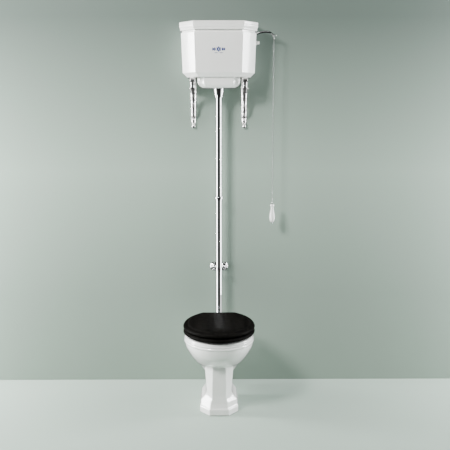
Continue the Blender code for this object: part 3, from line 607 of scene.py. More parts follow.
def build_pan_rim():
    """The box rim with its two moulded beads."""
    loops = []
    for inset, z in RIM_SECTION:
        loops.append(oval(0.185 - inset, -0.256 + inset, 0.127 - inset, z, 120))
    rim = loft("pan_rim", loops, cyclic=True)
    subdivision = rim.modifiers.new("soft", "SUBSURF")
    subdivision.levels = subdivision.render_levels = 1
    finish_piece(bake(rim), "china", "root", "pan")


# radius, height
PAN_SCREW_PROFILE = (
    (0.0, 0.0), (0.0035, 0.0), (0.0035, 0.0450), (0.0085, 0.0450),
    (0.0085, 0.0480), (0.0050, 0.0515), (0.0, 0.0525),
)


def build_pan_screws():
    for side, x in (("left", -0.084), ("right", 0.084)):
        screw = turned(f"screw_{side}", (x, 0.030, 0.001), "z", PAN_SCREW_PROFILE, 0.0008)
        finish_piece(screw, "chrome", "root", f"pan_screw_{side}")


# ---------------------------------------------------------------- seat and lid

SEAT_WIDTH = 0.072          # nominal width of the ring, for its section
SEAT_SECTION = (
    (0.005, 0.4250), (0.000, 0.4300), (0.000, 0.4385), (0.007, 0.4450),
    (0.062, 0.4450), (0.072, 0.4385), (0.072, 0.4300), (0.066, 0.4250),
)
# inset, height
LID_SECTION = (
    (0.0060, 0.4520), (0.0015, 0.4535), (0.0000, 0.4570), (0.0000, 0.4620), (0.0022, 0.4665),
    (0.0070, 0.4695), (0.0130, 0.4706), (0.0195, 0.4708), (0.0225, 0.4716), (0.0245, 0.4738),
    (0.0270, 0.4768), (0.0310, 0.4790), (0.0370, 0.4799), (0.0600, 0.4803), (0.1000, 0.4806),
    (0.1400, 0.4808), (0.1700, 0.4808),
)


def build_seat_ring():
    loops = []
    for across, z in rounded(SEAT_SECTION, 0.005, 5):
        outer = oval(SEAT_HALF, SEAT_FRONT_Y, SEAT_REACH_Y, z, 120, SEAT_BACK_Y)
        inner = oval(0.115, -0.190, 0.075, z, 120)
        share = across / SEAT_WIDTH
        loops.append([Vector(a).lerp(Vector(b), share) for a, b in zip(outer, inner)])
    finish_piece(loft("lacquered_seat", loops, cyclic=True), "lacquer", "seat", "seat_ring")


def build_seat_lid():
    def outline(inset, z):
        half, front, back = SEAT_HALF - inset, SEAT_FRONT_Y + inset, SEAT_REACH_Y - inset
        return oval(half, front, back, z, 120, SEAT_BACK_Y - inset)

    lid = loft("lacquered_lid", [outline(inset, z) for inset, z in LID_SECTION])
    finish_piece(lid, "lacquer", "lid", "seat_lid")


def build_strap(name, x, plate_low, plate_high, tip_y, body):
    """A knuckle round the hinge bar with a flat plate that two screws hold."""
    half = 0.010
    knuckle = [(0.0063, -half), (0.0085, -half), (0.0085, half), (0.0063, half)]
    strap = turned(name, (x, HINGE_Y, HINGE_Z), "x", knuckle, 0.0006)
    plate = rounded_block(
        "plate", (x - half, tip_y, plate_low), (x + half, HINGE_Y - 0.0065, plate_high), 0.0006
    )
    combine(strap, plate, "UNION")
    finish_piece(strap, "chrome", body, name.replace("_detail", ""))


# radius, height
POST_PROFILE = (
    (0.0, 0.362), (0.0045, 0.362), (0.0045, 0.4153), (0.0155, 0.4153), (0.0155, 0.4180),
    (0.0110, 0.4205), (0.0070, 0.4260), (0.0062, 0.4340), (0.0075, 0.4420), (0.0, 0.4440),
)
# radius, distance along the hinge bar
POST_HEAD_PROFILE = (
    (0.0062, -0.0080), (0.0095, -0.0080), (0.0110, -0.0030),
    (0.0110, 0.0030), (0.0095, 0.0080), (0.0062, 0.0080),
)


def build_hinge():
    bar = [(0.0, -0.0980), (0.0060, -0.0980), (0.0060, 0.0980), (0.0, 0.0980)]
    hinge_bar = turned("hinge_rod", (0, HINGE_Y, HINGE_Z), "x", bar, 0.0012)
    finish_piece(hinge_bar, "chrome", "root", "hinge_bar")
    for side, sign in (("left", -1), ("right", 1)):
        x = sign * POST_X
        bm = bmesh.new()
        add_turned(bm, (x, HINGE_Y, 0.0), "z", rounded(POST_PROFILE, 0.0015))
        add_turned(bm, (x, HINGE_Y, HINGE_Z), "x", rounded(POST_HEAD_PROFILE, 0.0015))
        finish_piece(new_object(f"post_{side}", bm), "chrome", "root", f"hinge_post_{side}")
        nut = [(0.0048, 0.3725), (0.0130, 0.3725), (0.0130, 0.3845), (0.0048, 0.3845)]
        wing = turned(f"post_nut_{side}", (x, HINGE_Y, 0.0), "z", nut, 0.0015, sides=6)
        finish_piece(wing, "plastic", "root", f"hinge_nut_{side}")
        build_strap(f"seat_strap_{side}_detail", sign * 0.060, SEAT_TOP_Z + 0.0003, 0.4478, 0.106, "seat")
        build_strap(f"lid_strap_{side}_detail", sign * 0.030, 0.4492, 0.4517, 0.090, "lid")


def build_buffers():
    places = {
        "seat_buffer_front_left": (-0.085, -0.200),
        "seat_buffer_front_right": (0.085, -0.200),
        "seat_buffer_rear_left": (-0.130, 0.045),
        "seat_buffer_rear_right": (0.130, 0.045),
        "lid_buffer_left": (-0.075, -0.215),
        "lid_buffer_right": (0.075, -0.215),
    }
    for name, (x, y) in places.items():
        low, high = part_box(name)
        radius = (high[0] - low[0]) / 2
        section = [(0.0, low[2]), (radius * 0.8, low[2]), (radius, high[2]), (0.0, high[2])]
        pad = turned(f"{name}_pad", (x, y, 0.0), "z", section, 0.0018, sides=32)
        finish_piece(pad, "rubber", "lid" if name.startswith("lid") else "seat", name)


# ---------------------------------------------------------------- cistern

# half width, front, back, cant, height, outside upwards and then inside downwards
CISTERN_ROWS = (
    (0.0770, 0.2190, 0.316, 0.0200, 1.7135),
    (0.0900, 0.2085, 0.327, 0.0260, 1.7155),
    (0.1045, 0.1980, 0.334, 0.0320, 1.7230),
    (0.1125, 0.1925, 0.339, 0.0340, 1.7330),
    (0.1160, 0.1905, 0.343, 0.0355, 1.7480),
    (0.1175, 0.1890, WALL_Y, 0.0360, 1.7700),
    (0.1730, 0.1780, WALL_Y, 0.0660, 1.7705),
    (0.1960, 0.1580, WALL_Y, 0.0710, 1.7930),
    (0.2035, 0.1520, WALL_Y, 0.0735, 2.0000),
    (0.2035, 0.1520, WALL_Y, 0.0735, 2.0032),
    (0.1968, 0.1587, WALL_Y, 0.0706, 2.0056),
    (0.1968, 0.1587, WALL_Y, 0.0706, CISTERN_RIM_Z),
    (0.1945, 0.1610, 0.338, 0.0682, CISTERN_RIM_Z),
    (0.1945, 0.1610, 0.338, 0.0682, 2.0000),
    (0.1865, 0.1675, 0.338, 0.0670, 1.7965),
    (0.1660, 0.1870, 0.338, 0.0615, 1.7792),
    (0.1085, 0.1980, 0.338, 0.0322, 1.7790),
    (0.1065, 0.2000, 0.332, 0.0315, 1.7480),
    (0.0960, 0.2070, 0.326, 0.0295, 1.7300),
    (0.0800, 0.2160, 0.319, 0.0210, 1.7225),
)
LID_BACK_Y = WALL_Y - 0.001
LID_ROWS = (
    (0.176, 0.180, 0.318, 0.060, 2.048),
    (0.180, 0.176, 0.322, 0.062, 2.007),
    (0.1925, 0.1635, 0.3365, 0.067, 2.007),
    (0.1925, 0.1635, 0.3365, 0.067, 2.0158),
    (0.2072, 0.1483, LID_BACK_Y, 0.0745, 2.0158),
    (0.2080, 0.1475, LID_BACK_Y, 0.0748, 2.0175),
    (0.2080, 0.1475, LID_BACK_Y, 0.0748, 2.0215),
    (0.2075, 0.1480, LID_BACK_Y, 0.0745, 2.0250),
    (0.2105, 0.1450, LID_BACK_Y, 0.0760, 2.0300),
    (0.2125, 0.1430, LID_BACK_Y, 0.0775, 2.0360),
    (0.2125, 0.1430, LID_BACK_Y, 0.0775, 2.0420),
    (0.2113, 0.1442, LID_BACK_Y, 0.0770, 2.0428),
    (0.2113, 0.1442, LID_BACK_Y, 0.0770, 2.0442),
    (0.2125, 0.1430, LID_BACK_Y, 0.0775, 2.0450),
    (0.2125, 0.1430, LID_BACK_Y, 0.0775, 2.0565),
    (0.2095, 0.1460, LID_BACK_Y, 0.0762, 2.0597),
    (0.2000, 0.1560, 0.338, 0.0740, 2.0600),
)


# radius, distance from the wall
CISTERN_SCREW_PROFILE = (
    (0.0, -0.012), (0.0045, -0.012), (0.0060, -0.0095), (0.0026, -0.0090), (0.0026, 0.0), (0.0, 0.0),
)
BRACKET_SCREW_PROFILE = (
    (0.0, -0.0150), (0.0030, -0.0146), (0.0056, -0.0120), (0.0058, -0.0112),
    (0.0028, -0.0112), (0.0028, 0.0), (0.0, 0.0),
)


def build_cistern():
    body = loft("cistern", [canted(*row) for row in CISTERN_ROWS])
    add_bevel(body, 0.0035)
    bake(body)
    bm = bmesh.new()
    add_block(bm, (0.185, 0.260, 1.9735), (0.215, 0.274, 2.05))
    combine(body, new_object("slot_cut", bm), "DIFFERENCE")
    finish_piece(body, "china", "root", "cistern_body")
    for side, x in (("left", -0.120), ("right", 0.120)):
        place = (x, WALL_Y, 1.965)
        screw = turned(f"wall_screw_{side}", place, "y", CISTERN_SCREW_PROFILE, 0.0006, sides=32)
        finish_piece(screw, "chrome", "root", f"cistern_screw_{side}")


def build_cistern_lid():
    lid = loft("cistern_cover_lid", [canted(*row) for row in LID_ROWS])
    add_bevel(lid, 0.0012, 3)
    bake(lid)
    bm = bmesh.new()
    add_block(bm, (0.135, 0.240, 2.00), (0.2000, 0.294, 2.0158))
    combine(lid, new_object("notch_cut", bm), "DIFFERENCE")
    finish_piece(lid, "china", "cistern_cover", "cistern_lid")


# ---------------------------------------------------------------- painted ornament

ORNAMENT_Z = 1.913
FRONT_SLOPE = -0.006 / 0.207    # the cistern's front leans out as it rises
FRONT_AT = (1.793, 0.158)       # height and y of a point on the front


def on_front(x, z):
    """A point just proud of the cistern's front face."""
    y = FRONT_AT[1] + (z - FRONT_AT[0]) * FRONT_SLOPE
    return Vector((x, y - 0.0003, z))


def add_leaf(bm, x, z, angle, length, width):
    """A flat pointed leaf that starts at x, z above the ornament's middle."""
    along = Vector((math.cos(angle), math.sin(angle)))
    across = Vector((-along.y, along.x))
    steps = 8
    left, right = [], []
    for i in range(steps + 1):
        t = i / steps
        spread = width / 2 * math.sin(math.pi * t) ** 0.8
        middle = Vector((x, z)) + along * (length * t)
        left.append(middle + across * spread)
        right.append(middle - across * spread)
    outline = [*left, *right[-2:0:-1]]
    bm.faces.new([bm.verts.new(on_front(p.x, ORNAMENT_Z + p.y)) for p in outline])


def build_ornament():
    """A painted sprig: a six-petalled flower between two branches of leaves, and a line beneath."""
    bm = bmesh.new()
    for i in range(6):
        angle = math.pi * (i / 3 + 1 / 6)
        add_leaf(bm, 0.0020 * math.cos(angle), 0.0020 * math.sin(angle), angle, 0.0125, 0.0080)
    for sign in (-1, 1):
        base = 0.0 if sign > 0 else math.pi
        for start, lift, reach in (
            (0.0155, 0.0, 0.0220), (0.0155, 0.75, 0.0130), (0.0155, -0.75, 0.0130),
            (0.0245, 0.60, 0.0120), (0.0245, -0.60, 0.0120),
        ):
            add_leaf(bm, sign * start, 0.0, base + sign * lift, reach, 0.0058)
        add_leaf(bm, sign * 0.0010, -0.0190, base, 0.0250, 0.0030)
    ornament = new_object("ornament", bm)
    ornament.data.materials.append(BLUE)
    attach(ornament, "root")


# ---------------------------------------------------------------- brackets

BRACE_PATH = (
    (0.0, 0.204, 1.752),
    (0.0, 0.216, 1.722),
    (0.0, 0.246, 1.704),
    (0.0, 0.276, 1.682),
    (0.0, 0.296, 1.640),
    (0.0, 0.310, 1.590),
    (0.0, 0.339, 1.552),
)


def spiral(centre, start_radius, end_radius, start, turns, steps):
    """Points of a flat spiral in the YZ plane."""
    points = []
    for i in range(steps + 1):
        t = i / steps
        angle = math.radians(start) + turns * 2 * math.pi * t
        radius = start_radius + (end_radius - start_radius) * t
        points.append((centre[0], centre[1] + radius * math.cos(angle), centre[2] + radius * math.sin(angle)))
    return points


# height, half width, depth
BRACKET_LEG = (
    (BRACKET_FOOT_Z, 0.0085, 0.009),
    (1.530, 0.0120, 0.011),
    (1.560, 0.0125, 0.011),
    (1.640, 0.0140, 0.012),
    (1.700, 0.0155, 0.012),
    (1.740, 0.0160, 0.012),
    (BRACKET_TOP_Z, 0.0165, 0.012),
)


def leg_loop(x, z, half, depth):
    front, shoulder = WALL_Y - depth, WALL_Y - depth * 0.5
    return [
        (x - half, shoulder, z), (x - half * 0.55, front, z), (x + half * 0.55, front, z),
        (x + half, shoulder, z), (x + half, WALL_Y, z), (x - half, WALL_Y, z),
    ]


def bracket_shapes(bm, x):
    """The overlapping shapes of a cast bracket."""
    top, foot = BRACKET_TOP_Z, BRACKET_FOOT_Z
    add_loops(bm, [leg_loop(x, *row) for row in BRACKET_LEG])
    add_block(bm, (x - 0.0125, 0.200, top - 0.010), (x + 0.0125, WALL_Y - 0.003, top))
    nose = [(x - 0.0135, 0.198, 1.7565), (x + 0.0135, 0.198, 1.7565)]
    add_tube(bm, nose, 0.0125, sides=24, side_way=(0, 0, 1))
    add_ball(bm, (x, WALL_Y - 0.0115, foot - 0.0080), 0.0112)
    collar_y = WALL_Y - 0.0105
    add_tube(bm, [(x, collar_y, foot + 0.0050), (x, collar_y, foot + 0.0095)], 0.0104, sides=24)

    brace = smooth_path([(x, y, z) for _, y, z in BRACE_PATH], 6)
    count = len(brace)
    swell = [0.0078 - 0.0022 * i / count + 0.0012 * math.sin(i * 0.95) for i in range(count)]
    add_tube(bm, brace, swell, sides=18, flatten=1.6)
    add_tube(bm, spiral((x, 0.309, 1.733), 0.0265, 0.0060, 200, 1.75, 48), 0.0046, sides=12, flatten=1.5)
    add_ball(bm, (x, 0.309, 1.733), 0.0070, (1.3, 1.0, 1.0))
    add_tube(bm, spiral((x, 0.2585, 1.7385), 0.0175, 0.0040, 20, -1.5, 36), 0.0038, sides=12, flatten=1.5)
    add_ball(bm, (x, 0.2585, 1.7385), 0.0055, (1.3, 1.0, 1.0))
    add_tube(bm, spiral((x, 0.3235, 1.6330), 0.0140, 0.0035, 120, -1.4, 30), 0.0032, sides=12, flatten=1.5)
    for sign in (-1, 1):
        add_ball(bm, (x + sign * 0.0135, 0.232, 1.7105), 0.0058)
        add_ball(bm, (x + sign * 0.0120, 0.198, 1.7565), 0.0072, (0.6, 1.0, 1.0))
    for z in (1.585, 1.612, 1.664):
        add_ball(bm, (x, WALL_Y - 0.011, z), 0.0062, (1.5, 0.8, 0.9))


def build_brackets():
    for side, x in (("left", -BRACKET_X), ("right", BRACKET_X)):
        bm = bmesh.new()
        bracket_shapes(bm, x)
        bracket = cast_together(new_object(f"scroll_bracket_{side}", bm), 0.0014, 7)
        finish_piece(bracket, "casting", "root", f"bracket_{side}")
        for level in ("upper", "lower"):
            node = f"bracket_screw_{side}_{level}"
            low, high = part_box(node)
            z = (low[2] + high[2]) / 2
            screw = turned(f"{node}_head", (x, WALL_Y, z), "y", BRACKET_SCREW_PROFILE, sides=32)
            finish_piece(screw, "casting", "root", node)


# ---------------------------------------------------------------- flushing gear

LEVER_PATH = (
    (0.081, PIPE_Y, 1.981),
    (0.112, PIPE_Y, 1.988),
    (0.155, PIPE_Y, 1.996),
    (0.198, PIPE_Y, 2.0030),
    (0.232, PIPE_Y, 2.0130),
    (0.262, PIPE_Y, 2.0165),
    (0.284, PIPE_Y, 2.0110),
    (0.2975, PIPE_Y, 2.0012),
)


LEVER_RADII = (0.0034, 0.0040, 0.0045, 0.0044, 0.0054, 0.0057, 0.0046, 0.0034)


def add_ring(bm, centre, radius, wire, plane="xz", steps=28):
    """A closed round wire ring."""
    add_tube(bm, arc(centre, radius, 0, 360 - 360 / steps, steps - 1, plane), wire, sides=12, cyclic=True,
             side_way=(0, 1, 0) if "y" not in plane else (1, 0, 0))


def build_lever():
    bm = bmesh.new()
    points = smooth_path(LEVER_PATH, 8)
    radii = smooth_values(LEVER_RADII, 8)
    add_tube(bm, points, radii, sides=20, flatten=0.85, side_way=(0, 1, 0))
    boss = [(0.0033, -0.007), (0.0085, -0.007), (0.0085, 0.007), (0.0033, 0.007)]
    add_turned(bm, LEVER_PIVOT, "y", rounded(boss, 0.0012))
    add_ring(bm, LEVER_INNER_EYE, 0.0056, 0.0016)
    add_ring(bm, (CHAIN_X, PIPE_Y, CHAIN_EYE_Z), 0.0056, 0.0016)
    finish_piece(new_object("lever_arm", bm), "chrome", "lever", "flush_lever")


def link_points(x, top, bottom, half, plane):
    """The closed centreline of an upright wire link."""
    points = arc((x, PIPE_Y, top - half), half, 0, 180, 8, plane)
    points += arc((x, PIPE_Y, bottom + half), half, 180, 360, 8, plane)
    return points


def add_link(bm, x, top, bottom, half, wire, plane):
    side_way = (1, 0, 0) if plane == "yz" else (0, 1, 0)
    add_tube(bm, link_points(x, top, bottom, half, plane), wire, sides=10, cyclic=True, side_way=side_way)


def build_wire_links():
    for name, body, x, top, bottom, half in (
        ("lift_link", "link", LEVER_INNER_EYE.x, LEVER_INNER_EYE.z, ROD_EYE.z, 0.0052),
        ("chain_hook", "hook", CHAIN_X, CHAIN_EYE_Z, CHAIN_TOP_Z + 0.0016, 0.0048),
        ("handle_ring", "chain", CHAIN_X, CHAIN_END_Z - 0.0015, SPINDLE_EYE_Z, 0.0050),
    ):
        bm = bmesh.new()
        add_link(bm, x, top, bottom, half, 0.0012, "yz")
        finish_piece(new_object(f"{name}_wire", bm), "chrome", body, name)


def build_chain():
    """Thirty long wire links, each turned a quarter from the last."""
    bm = bmesh.new()
    wire = 0.0009
    pitch = (CHAIN_TOP_Z - CHAIN_END_Z) / CHAIN_LINKS
    for i in range(CHAIN_LINKS):
        top = CHAIN_TOP_Z - pitch * i + (wire if i else -wire)
        bottom = CHAIN_TOP_Z - pitch * (i + 1) - (wire if i < CHAIN_LINKS - 1 else -wire)
        add_link(bm, CHAIN_X, top, bottom, 0.0032, wire, "xz" if i % 2 else "yz")
    chain = finish_piece(new_object("chain_links", bm), "chrome", "chain", "pull_chain")


# radius, height
HANDLE_PROFILE = (
    (0.0022, 1.0688), (0.0060, 1.0690), (0.0100, 1.0678), (0.0118, 1.0640), (0.0118, 1.0585),
    (0.0102, 1.0552), (0.0082, 1.0535), (0.0088, 1.0500), (0.0088, 1.0470), (0.0082, 1.0430),
    (0.0092, 1.0360), (0.0112, 1.0260), (0.0140, 1.0120), (0.0155, 0.9990), (0.0152, 0.9880),
    (0.0136, 0.9790), (0.0108, 0.9715), (0.0082, 0.9672), (0.0050, 0.9660), (0.0022, 0.9660),
)


SPINDLE_PROFILE = (
    (0.0, 0.9620), (0.0018, 0.9620), (0.0018, 1.0700), (0.0042, 1.0692), (0.0030, 1.0708), (0.0, 1.0712),
)


def build_handle():
    profile = [(p.x, p.y) for p in smooth_path([(r, z, 0.0) for r, z in HANDLE_PROFILE], 3)]
    grip = turned("china_handle", (CHAIN_X, PIPE_Y, 0.0), "z", profile, sides=64)
    finish_piece(grip, "china", "pull", "pull_handle")
    bm = bmesh.new()
    add_turned(bm, (CHAIN_X, PIPE_Y, 0.0), "z", SPINDLE_PROFILE, 24)
    add_ring(bm, (CHAIN_X, PIPE_Y, SPINDLE_EYE_Z), 0.0046, 0.0010)
    add_ball(bm, (CHAIN_X, PIPE_Y, 0.9615), 0.0042, (1.0, 1.0, 0.85))
    finish_piece(new_object("handle_pin", bm), "chrome", "pull", "handle_spindle")


# ---------------------------------------------------------------- flush pipe and fittings


def pipe(name, points, *nodes):
    """A thin tube that is open at both ends."""
    bm = bmesh.new()
    sides = 48
    add_tube(bm, points, PIPE_R, sides=sides)
    outer = new_object(name, bm)
    bm = bmesh.new()
    start = points[0] + (points[0] - points[1]) * 0.01
    end = points[-1] + (points[-1] - points[-2]) * 0.05
    add_tube(bm, [start, *points[1:-1], end], PIPE_BORE, sides=sides)
    combine(outer, new_object("bore_cut", bm), "DIFFERENCE")
    finish_piece(outer, "chrome", "root", *nodes)


def build_pipes():
    upper = [Vector((0, PIPE_Y, z)) for z in (1.688, 1.400, COUPLING_Z + 0.0003)]
    pipe("pipe_upper", upper, "flush_pipe_upper")
    bend = 0.045
    elbow = arc((0, PIPE_Y - bend, HORN_Z + bend), bend, 0, -90, 20, "yz")
    lower = [Vector((0, PIPE_Y, COUPLING_Z - 0.0003)), Vector((0, PIPE_Y, 0.760)), *elbow]
    pipe("pipe_lower", [*lower, Vector((0, 0.190, HORN_Z))], "flush_pipe_lower")


# radius, height or distance along the axis
COUPLING_PROFILE = (
    (0.0163, -0.012), (0.0185, -0.012), (0.0186, -0.0055), (0.0222, -0.0045), (0.0225, -0.0030),
    (0.0225, 0.0030), (0.0222, 0.0045), (0.0186, 0.0055), (0.0185, 0.010), (0.0163, 0.010),
)
CONE_NUT_PROFILE = (
    (0.0268, 1.7130), (0.0300, 1.7130), (0.0300, 1.7085), (0.0288, 1.7060), (0.0282, 1.7000),
    (0.0266, 1.6880), (0.0242, 1.6750), (0.0226, 1.6700), (0.0234, 1.6680), (0.0234, 1.6645),
    (0.0222, 1.6630), (0.0163, 1.6630), (0.0163, 1.6860), (0.0212, 1.6865), (0.0216, 1.6930),
    (0.0268, 1.7000),
)
FLUSH_CONE_PROFILE = (
    (0.0283, 0.1860), (0.0315, 0.1860), (0.0325, 0.2050), (0.0305, 0.2100), (0.0235, 0.2130),
    (0.0210, 0.2160), (0.0205, 0.2200), (0.0163, 0.2200), (0.0163, 0.2053), (0.0283, 0.2053),
)
STEM_PROFILE = (
    (0.0, 0.0), (0.0252, 0.0), (0.0252, -0.0015), (0.0238, -0.0042), (0.0205, -0.0078), (0.0160, -0.0112),
    (0.0110, -0.0138), (0.0080, -0.0152), (0.0062, -0.0170), (0.0050, -0.0200),
    (0.0050, -0.0500), (0.0058, -0.0560), (0.0050, -0.0620), (0.0050, -0.0776), (0.0030, -0.0776),
    (0.0030, -0.0930), (0.0, -0.0930),
)
CLIP_NUT_PROFILE = (
    (0.0031, 0.0), (0.0076, 0.0), (0.0076, -0.0030), (0.0066, -0.0042), (0.0062, -0.0070),
    (0.0048, -0.0098), (0.0031, -0.0108),
)


def build_fittings():
    coupling = turned("coupling_ring", (0, PIPE_Y, COUPLING_Z), "z", COUPLING_PROFILE, 0.0006, sides=64)
    finish_piece(coupling, "chrome", "root", "pipe_coupling")
    cone = turned("cone_nut", (0, PIPE_Y, 0.0), "z", CONE_NUT_PROFILE, 0.0008, sides=64)
    finish_piece(cone, "chrome", "root", "outlet_cone_nut")
    boot = turned("flush_boot", (0, 0, HORN_Z), "y", FLUSH_CONE_PROFILE, 0.0012, sides=64)
    finish_piece(boot, "rubber", "root", "flush_cone")


def build_clip():
    for side, x in (("left", -CLIP_X), ("right", CLIP_X)):
        stem = turned(f"rosette_{side}", (x, WALL_Y, CLIP_Z), "y", STEM_PROFILE, 0.0008, sides=64)
        finish_piece(stem, "chrome", "root", f"clip_stem_{side}")
        front = (x, PIPE_Y - 0.0024, CLIP_Z)
        nut = turned(f"dome_nut_{side}", front, "y", CLIP_NUT_PROFILE, 0.0006, sides=32)
        finish_piece(nut, "chrome", "root", f"clip_nut_{side}")
    low, high = CLIP_Z - 0.007, CLIP_Z + 0.007
    collar = [(0.0163, low), (0.0188, low), (0.0188, high), (0.0163, high)]
    band = turned("pipe_band", (0, PIPE_Y, 0.0), "z", collar, 0.0006, sides=64)
    for sign in (-1, 1):
        inner, outer = sorted((sign * 0.0180, sign * 0.0365))
        wing = rounded_block("wing", (inner, PIPE_Y - 0.0021, low), (outer, PIPE_Y + 0.0021, high), 0.0008)
        combine(band, wing, "UNION")
    finish_piece(band, "chrome", "root", "clip_band")


# ---------------------------------------------------------------- inside the cistern


def build_float_ball():
    """A moulded float with a seam round its middle."""
    low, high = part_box("float_ball")
    centre = (Vector(low) + Vector(high)) / 2
    radius = (high[1] - low[1]) / 2
    bm = bmesh.new()
    add_ball(bm, centre, radius - 0.0004)
    inner, half = radius - 0.004, 0.0010
    seam = [(inner, -half), (radius, -half), (radius, half), (inner, half)]
    add_turned(bm, centre, "z", rounded(seam, 0.0005), 64)
    finish_piece(new_object("float_bulb", bm), "plastic", "float", "float_ball")


def dress_cad_nodes():
    """Gives every CAD node the material of its slot."""
    slots = {row["node"]: row["material_slot"] for row in frame["record"]["subparts"]}
    for name, obj in frame["nodes"].items():
        obj.data.materials.clear()
        obj.data.materials.append(MATERIALS[slots[name]])


INNER_NODES = (
    "siphon_body", "siphon_back_nut", "siphon_piston", "fill_valve_body", "fill_valve_nut", "lever_bracket",
)


def soften_inner_nodes():
    for name in INNER_NODES:
        add_bevel(frame["nodes"][name], 0.0004, 2)


# ---------------------------------------------------------------- studio


def see_through_from_behind(material, shader):
    """Lets a view from behind look past the sheet."""
    nodes, links = material.node_tree.nodes, material.node_tree.links
    geometry = nodes.new("ShaderNodeNewGeometry")
    clear = nodes.new("ShaderNodeBsdfTransparent")
    pick = nodes.new("ShaderNodeMixShader")
    links.new(geometry.outputs["Backfacing"], pick.inputs["Fac"])
    links.new(shader.outputs["BSDF"], pick.inputs[1])
    links.new(clear.outputs["BSDF"], pick.inputs[2])
    links.new(pick.outputs["Shader"], nodes["Material Output"].inputs["Surface"])


# share of the wall's height, colour. The changes in tone are painted shade: palest at half height, darker low
# down and much darker towards the top
WALL_PAINTED_SHADE_TONES = (
    (0.00, (0.232, 0.297, 0.250)),
    (0.22, (0.240, 0.306, 0.261)),
    (0.52, (0.320, 0.408, 0.348)),
    (0.88, (0.106, 0.143, 0.123)),
)
WALL_PAINTED_SHADE_HEIGHT = 2.4


def wall_material():
    """Painted plaster with painted shade in its colour: palest at half height, darker towards the floor and
    much darker towards the top, where the lamps light it less.
    """
    material, shader = new_material("wall_paint_and_painted_shade", WALL_PAINTED_SHADE_TONES[0][1], 0.75)
    nodes, links = material.node_tree.nodes, material.node_tree.links
    place = nodes.new("ShaderNodeTexCoord")
    split = nodes.new("ShaderNodeSeparateXYZ")
    share = nodes.new("ShaderNodeMapRange")
    share.inputs["From Max"].default_value = WALL_PAINTED_SHADE_HEIGHT
    ramp = nodes.new("ShaderNodeValToRGB")
    tones = ramp.color_ramp.elements
    tones[0].position, tones[1].position = WALL_PAINTED_SHADE_TONES[0][0], WALL_PAINTED_SHADE_TONES[-1][0]
    for position, _ in WALL_PAINTED_SHADE_TONES[1:-1]:
        tones.new(position)
    # these ramp colours paint the wall's light and shade by height
    for tone, (_, colour) in zip(tones, WALL_PAINTED_SHADE_TONES):
        tone.color = (*colour, 1.0)
    links.new(place.outputs["Object"], split.inputs["Vector"])
    links.new(split.outputs["Z"], share.inputs["Value"])
    links.new(share.outputs["Result"], ramp.inputs["Fac"])
    links.new(ramp.outputs["Color"], shader.inputs["Base Color"])
    add_bump(material, shader, noise(material, 90.0, 3.0), 0.05, 0.001)
    see_through_from_behind(material, shader)
    return material


def floor_material():
    material, shader = new_material("floor_paint", (0.34, 0.42, 0.37), 0.75)
    cloud = noise(material, 0.9, 3.0)
    low, high = (0.330, 0.412, 0.360), (0.352, 0.436, 0.380)
    vary_colour(material, shader.inputs["Base Color"], cloud, low, high, 0.3, 0.7)
    add_bump(material, shader, noise(material, 60.0, 3.0), 0.05, 0.001)
    see_through_from_behind(material, shader)
    return material


def stage_sheet(name, corners, material):
    bm = bmesh.new()
    bm.faces.new([bm.verts.new(corner) for corner in corners])
    mesh = bpy.data.meshes.new(name)
    bm.to_mesh(mesh)
    bm.free()
    mesh.materials.append(material)
    obj = bpy.data.objects.new(name, mesh)
    obj.visible_glossy = False
    bpy.context.scene.collection.objects.link(obj)


def build_stage():
    reach, front, height = 9.0, -2.6, 7.0
    wall_y = WALL_Y + 0.0008
    wall = [(-reach, wall_y, 0), (reach, wall_y, 0), (reach, wall_y, height), (-reach, wall_y, height)]
    stage_sheet("wall", wall, wall_material())
    ground = [(-reach, front), (reach, front), (reach, wall_y), (-reach, wall_y)]
    stage_sheet("floor", [(x, y, -0.0008) for x, y in ground], floor_material())


def area_light(name, place, target, size, power, colour=(1.0, 1.0, 1.0)):
    light = bpy.data.lights.new(name, "AREA")
    light.shape = "RECTANGLE"
    light.size, light.size_y = size
    light.energy = power
    light.color = colour
    obj = bpy.data.objects.new(name, light)
    obj.location = place
    obj.rotation_euler = (Vector(target) - Vector(place)).to_track_quat("-Z", "Y").to_euler()
    obj.visible_camera = False
    bpy.context.scene.collection.objects.link(obj)


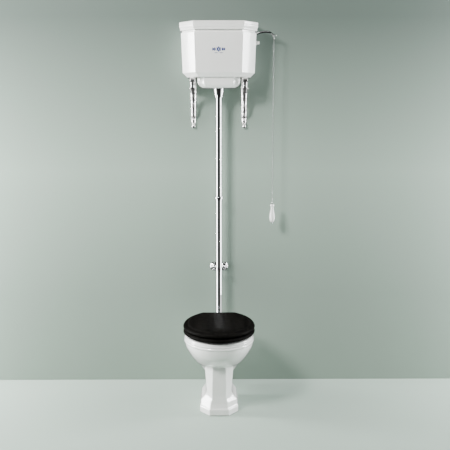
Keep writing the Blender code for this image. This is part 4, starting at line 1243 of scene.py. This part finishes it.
def build_lights():
    area_light("key", (-2.0, -2.3, 3.4), (0.0, 0.25, 1.2), (0.8, 0.8), 222.0, (1.0, 0.99, 0.97))
    area_light("left_strip", (-2.2, 0.12, 0.95), (0.0, 0.15, 0.9), (0.3, 2.6), 155.0)
    area_light("right_strip", (2.2, 0.12, 1.3), (0.0, 0.15, 1.2), (0.3, 2.6), 100.0, (0.98, 0.99, 1.0))
    area_light("top", (0.0, -1.2, 4.2), (0.0, 0.1, 1.0), (2.4, 1.6), 8.0)


def build_world():
    """Wide bright surroundings at both sides, dark in front and overhead."""
    world = bpy.data.worlds.new("studio")
    bpy.context.scene.world = world
    world.use_nodes = True
    nodes, links = world.node_tree.nodes, world.node_tree.links
    background = nodes["Background"]
    place = nodes.new("ShaderNodeTexCoord")
    split = nodes.new("ShaderNodeSeparateXYZ")
    sideways = nodes.new("ShaderNodeMath")
    sideways.operation = "ABSOLUTE"
    ramp = nodes.new("ShaderNodeValToRGB")
    ramp.color_ramp.elements[0].position = 0.65
    ramp.color_ramp.elements[0].color = (0.015, 0.015, 0.015, 1.0)
    ramp.color_ramp.elements[1].position = 0.86
    ramp.color_ramp.elements[1].color = (0.97, 1.0, 0.98, 1.0)
    rays = nodes.new("ShaderNodeLightPath")
    mix = nodes.new("ShaderNodeMix")
    mix.data_type = "RGBA"
    mix.inputs["B"].default_value = (0.260, 0.282, 0.268, 1.0)
    links.new(place.outputs["Generated"], split.inputs["Vector"])
    links.new(split.outputs["X"], sideways.inputs[0])
    links.new(sideways.outputs["Value"], ramp.inputs["Fac"])
    links.new(rays.outputs["Is Camera Ray"], mix.inputs["Factor"])
    links.new(ramp.outputs["Color"], mix.inputs["A"])
    links.new(mix.outputs["Result"], background.inputs["Color"])
    background.inputs["Strength"].default_value = 1.6


# ---------------------------------------------------------------- everything

make_camera()
build_chain()
build_pan_body()
build_pan_rim()
build_pan_screws()
build_seat_ring()
build_seat_lid()
build_hinge()
build_buffers()
build_cistern()
build_cistern_lid()
build_ornament()
build_brackets()
build_lever()
build_wire_links()
build_handle()
build_pipes()
build_fittings()
build_clip()
build_float_ball()
dress_cad_nodes()
soften_inner_nodes()
build_stage()
build_lights()
build_world()
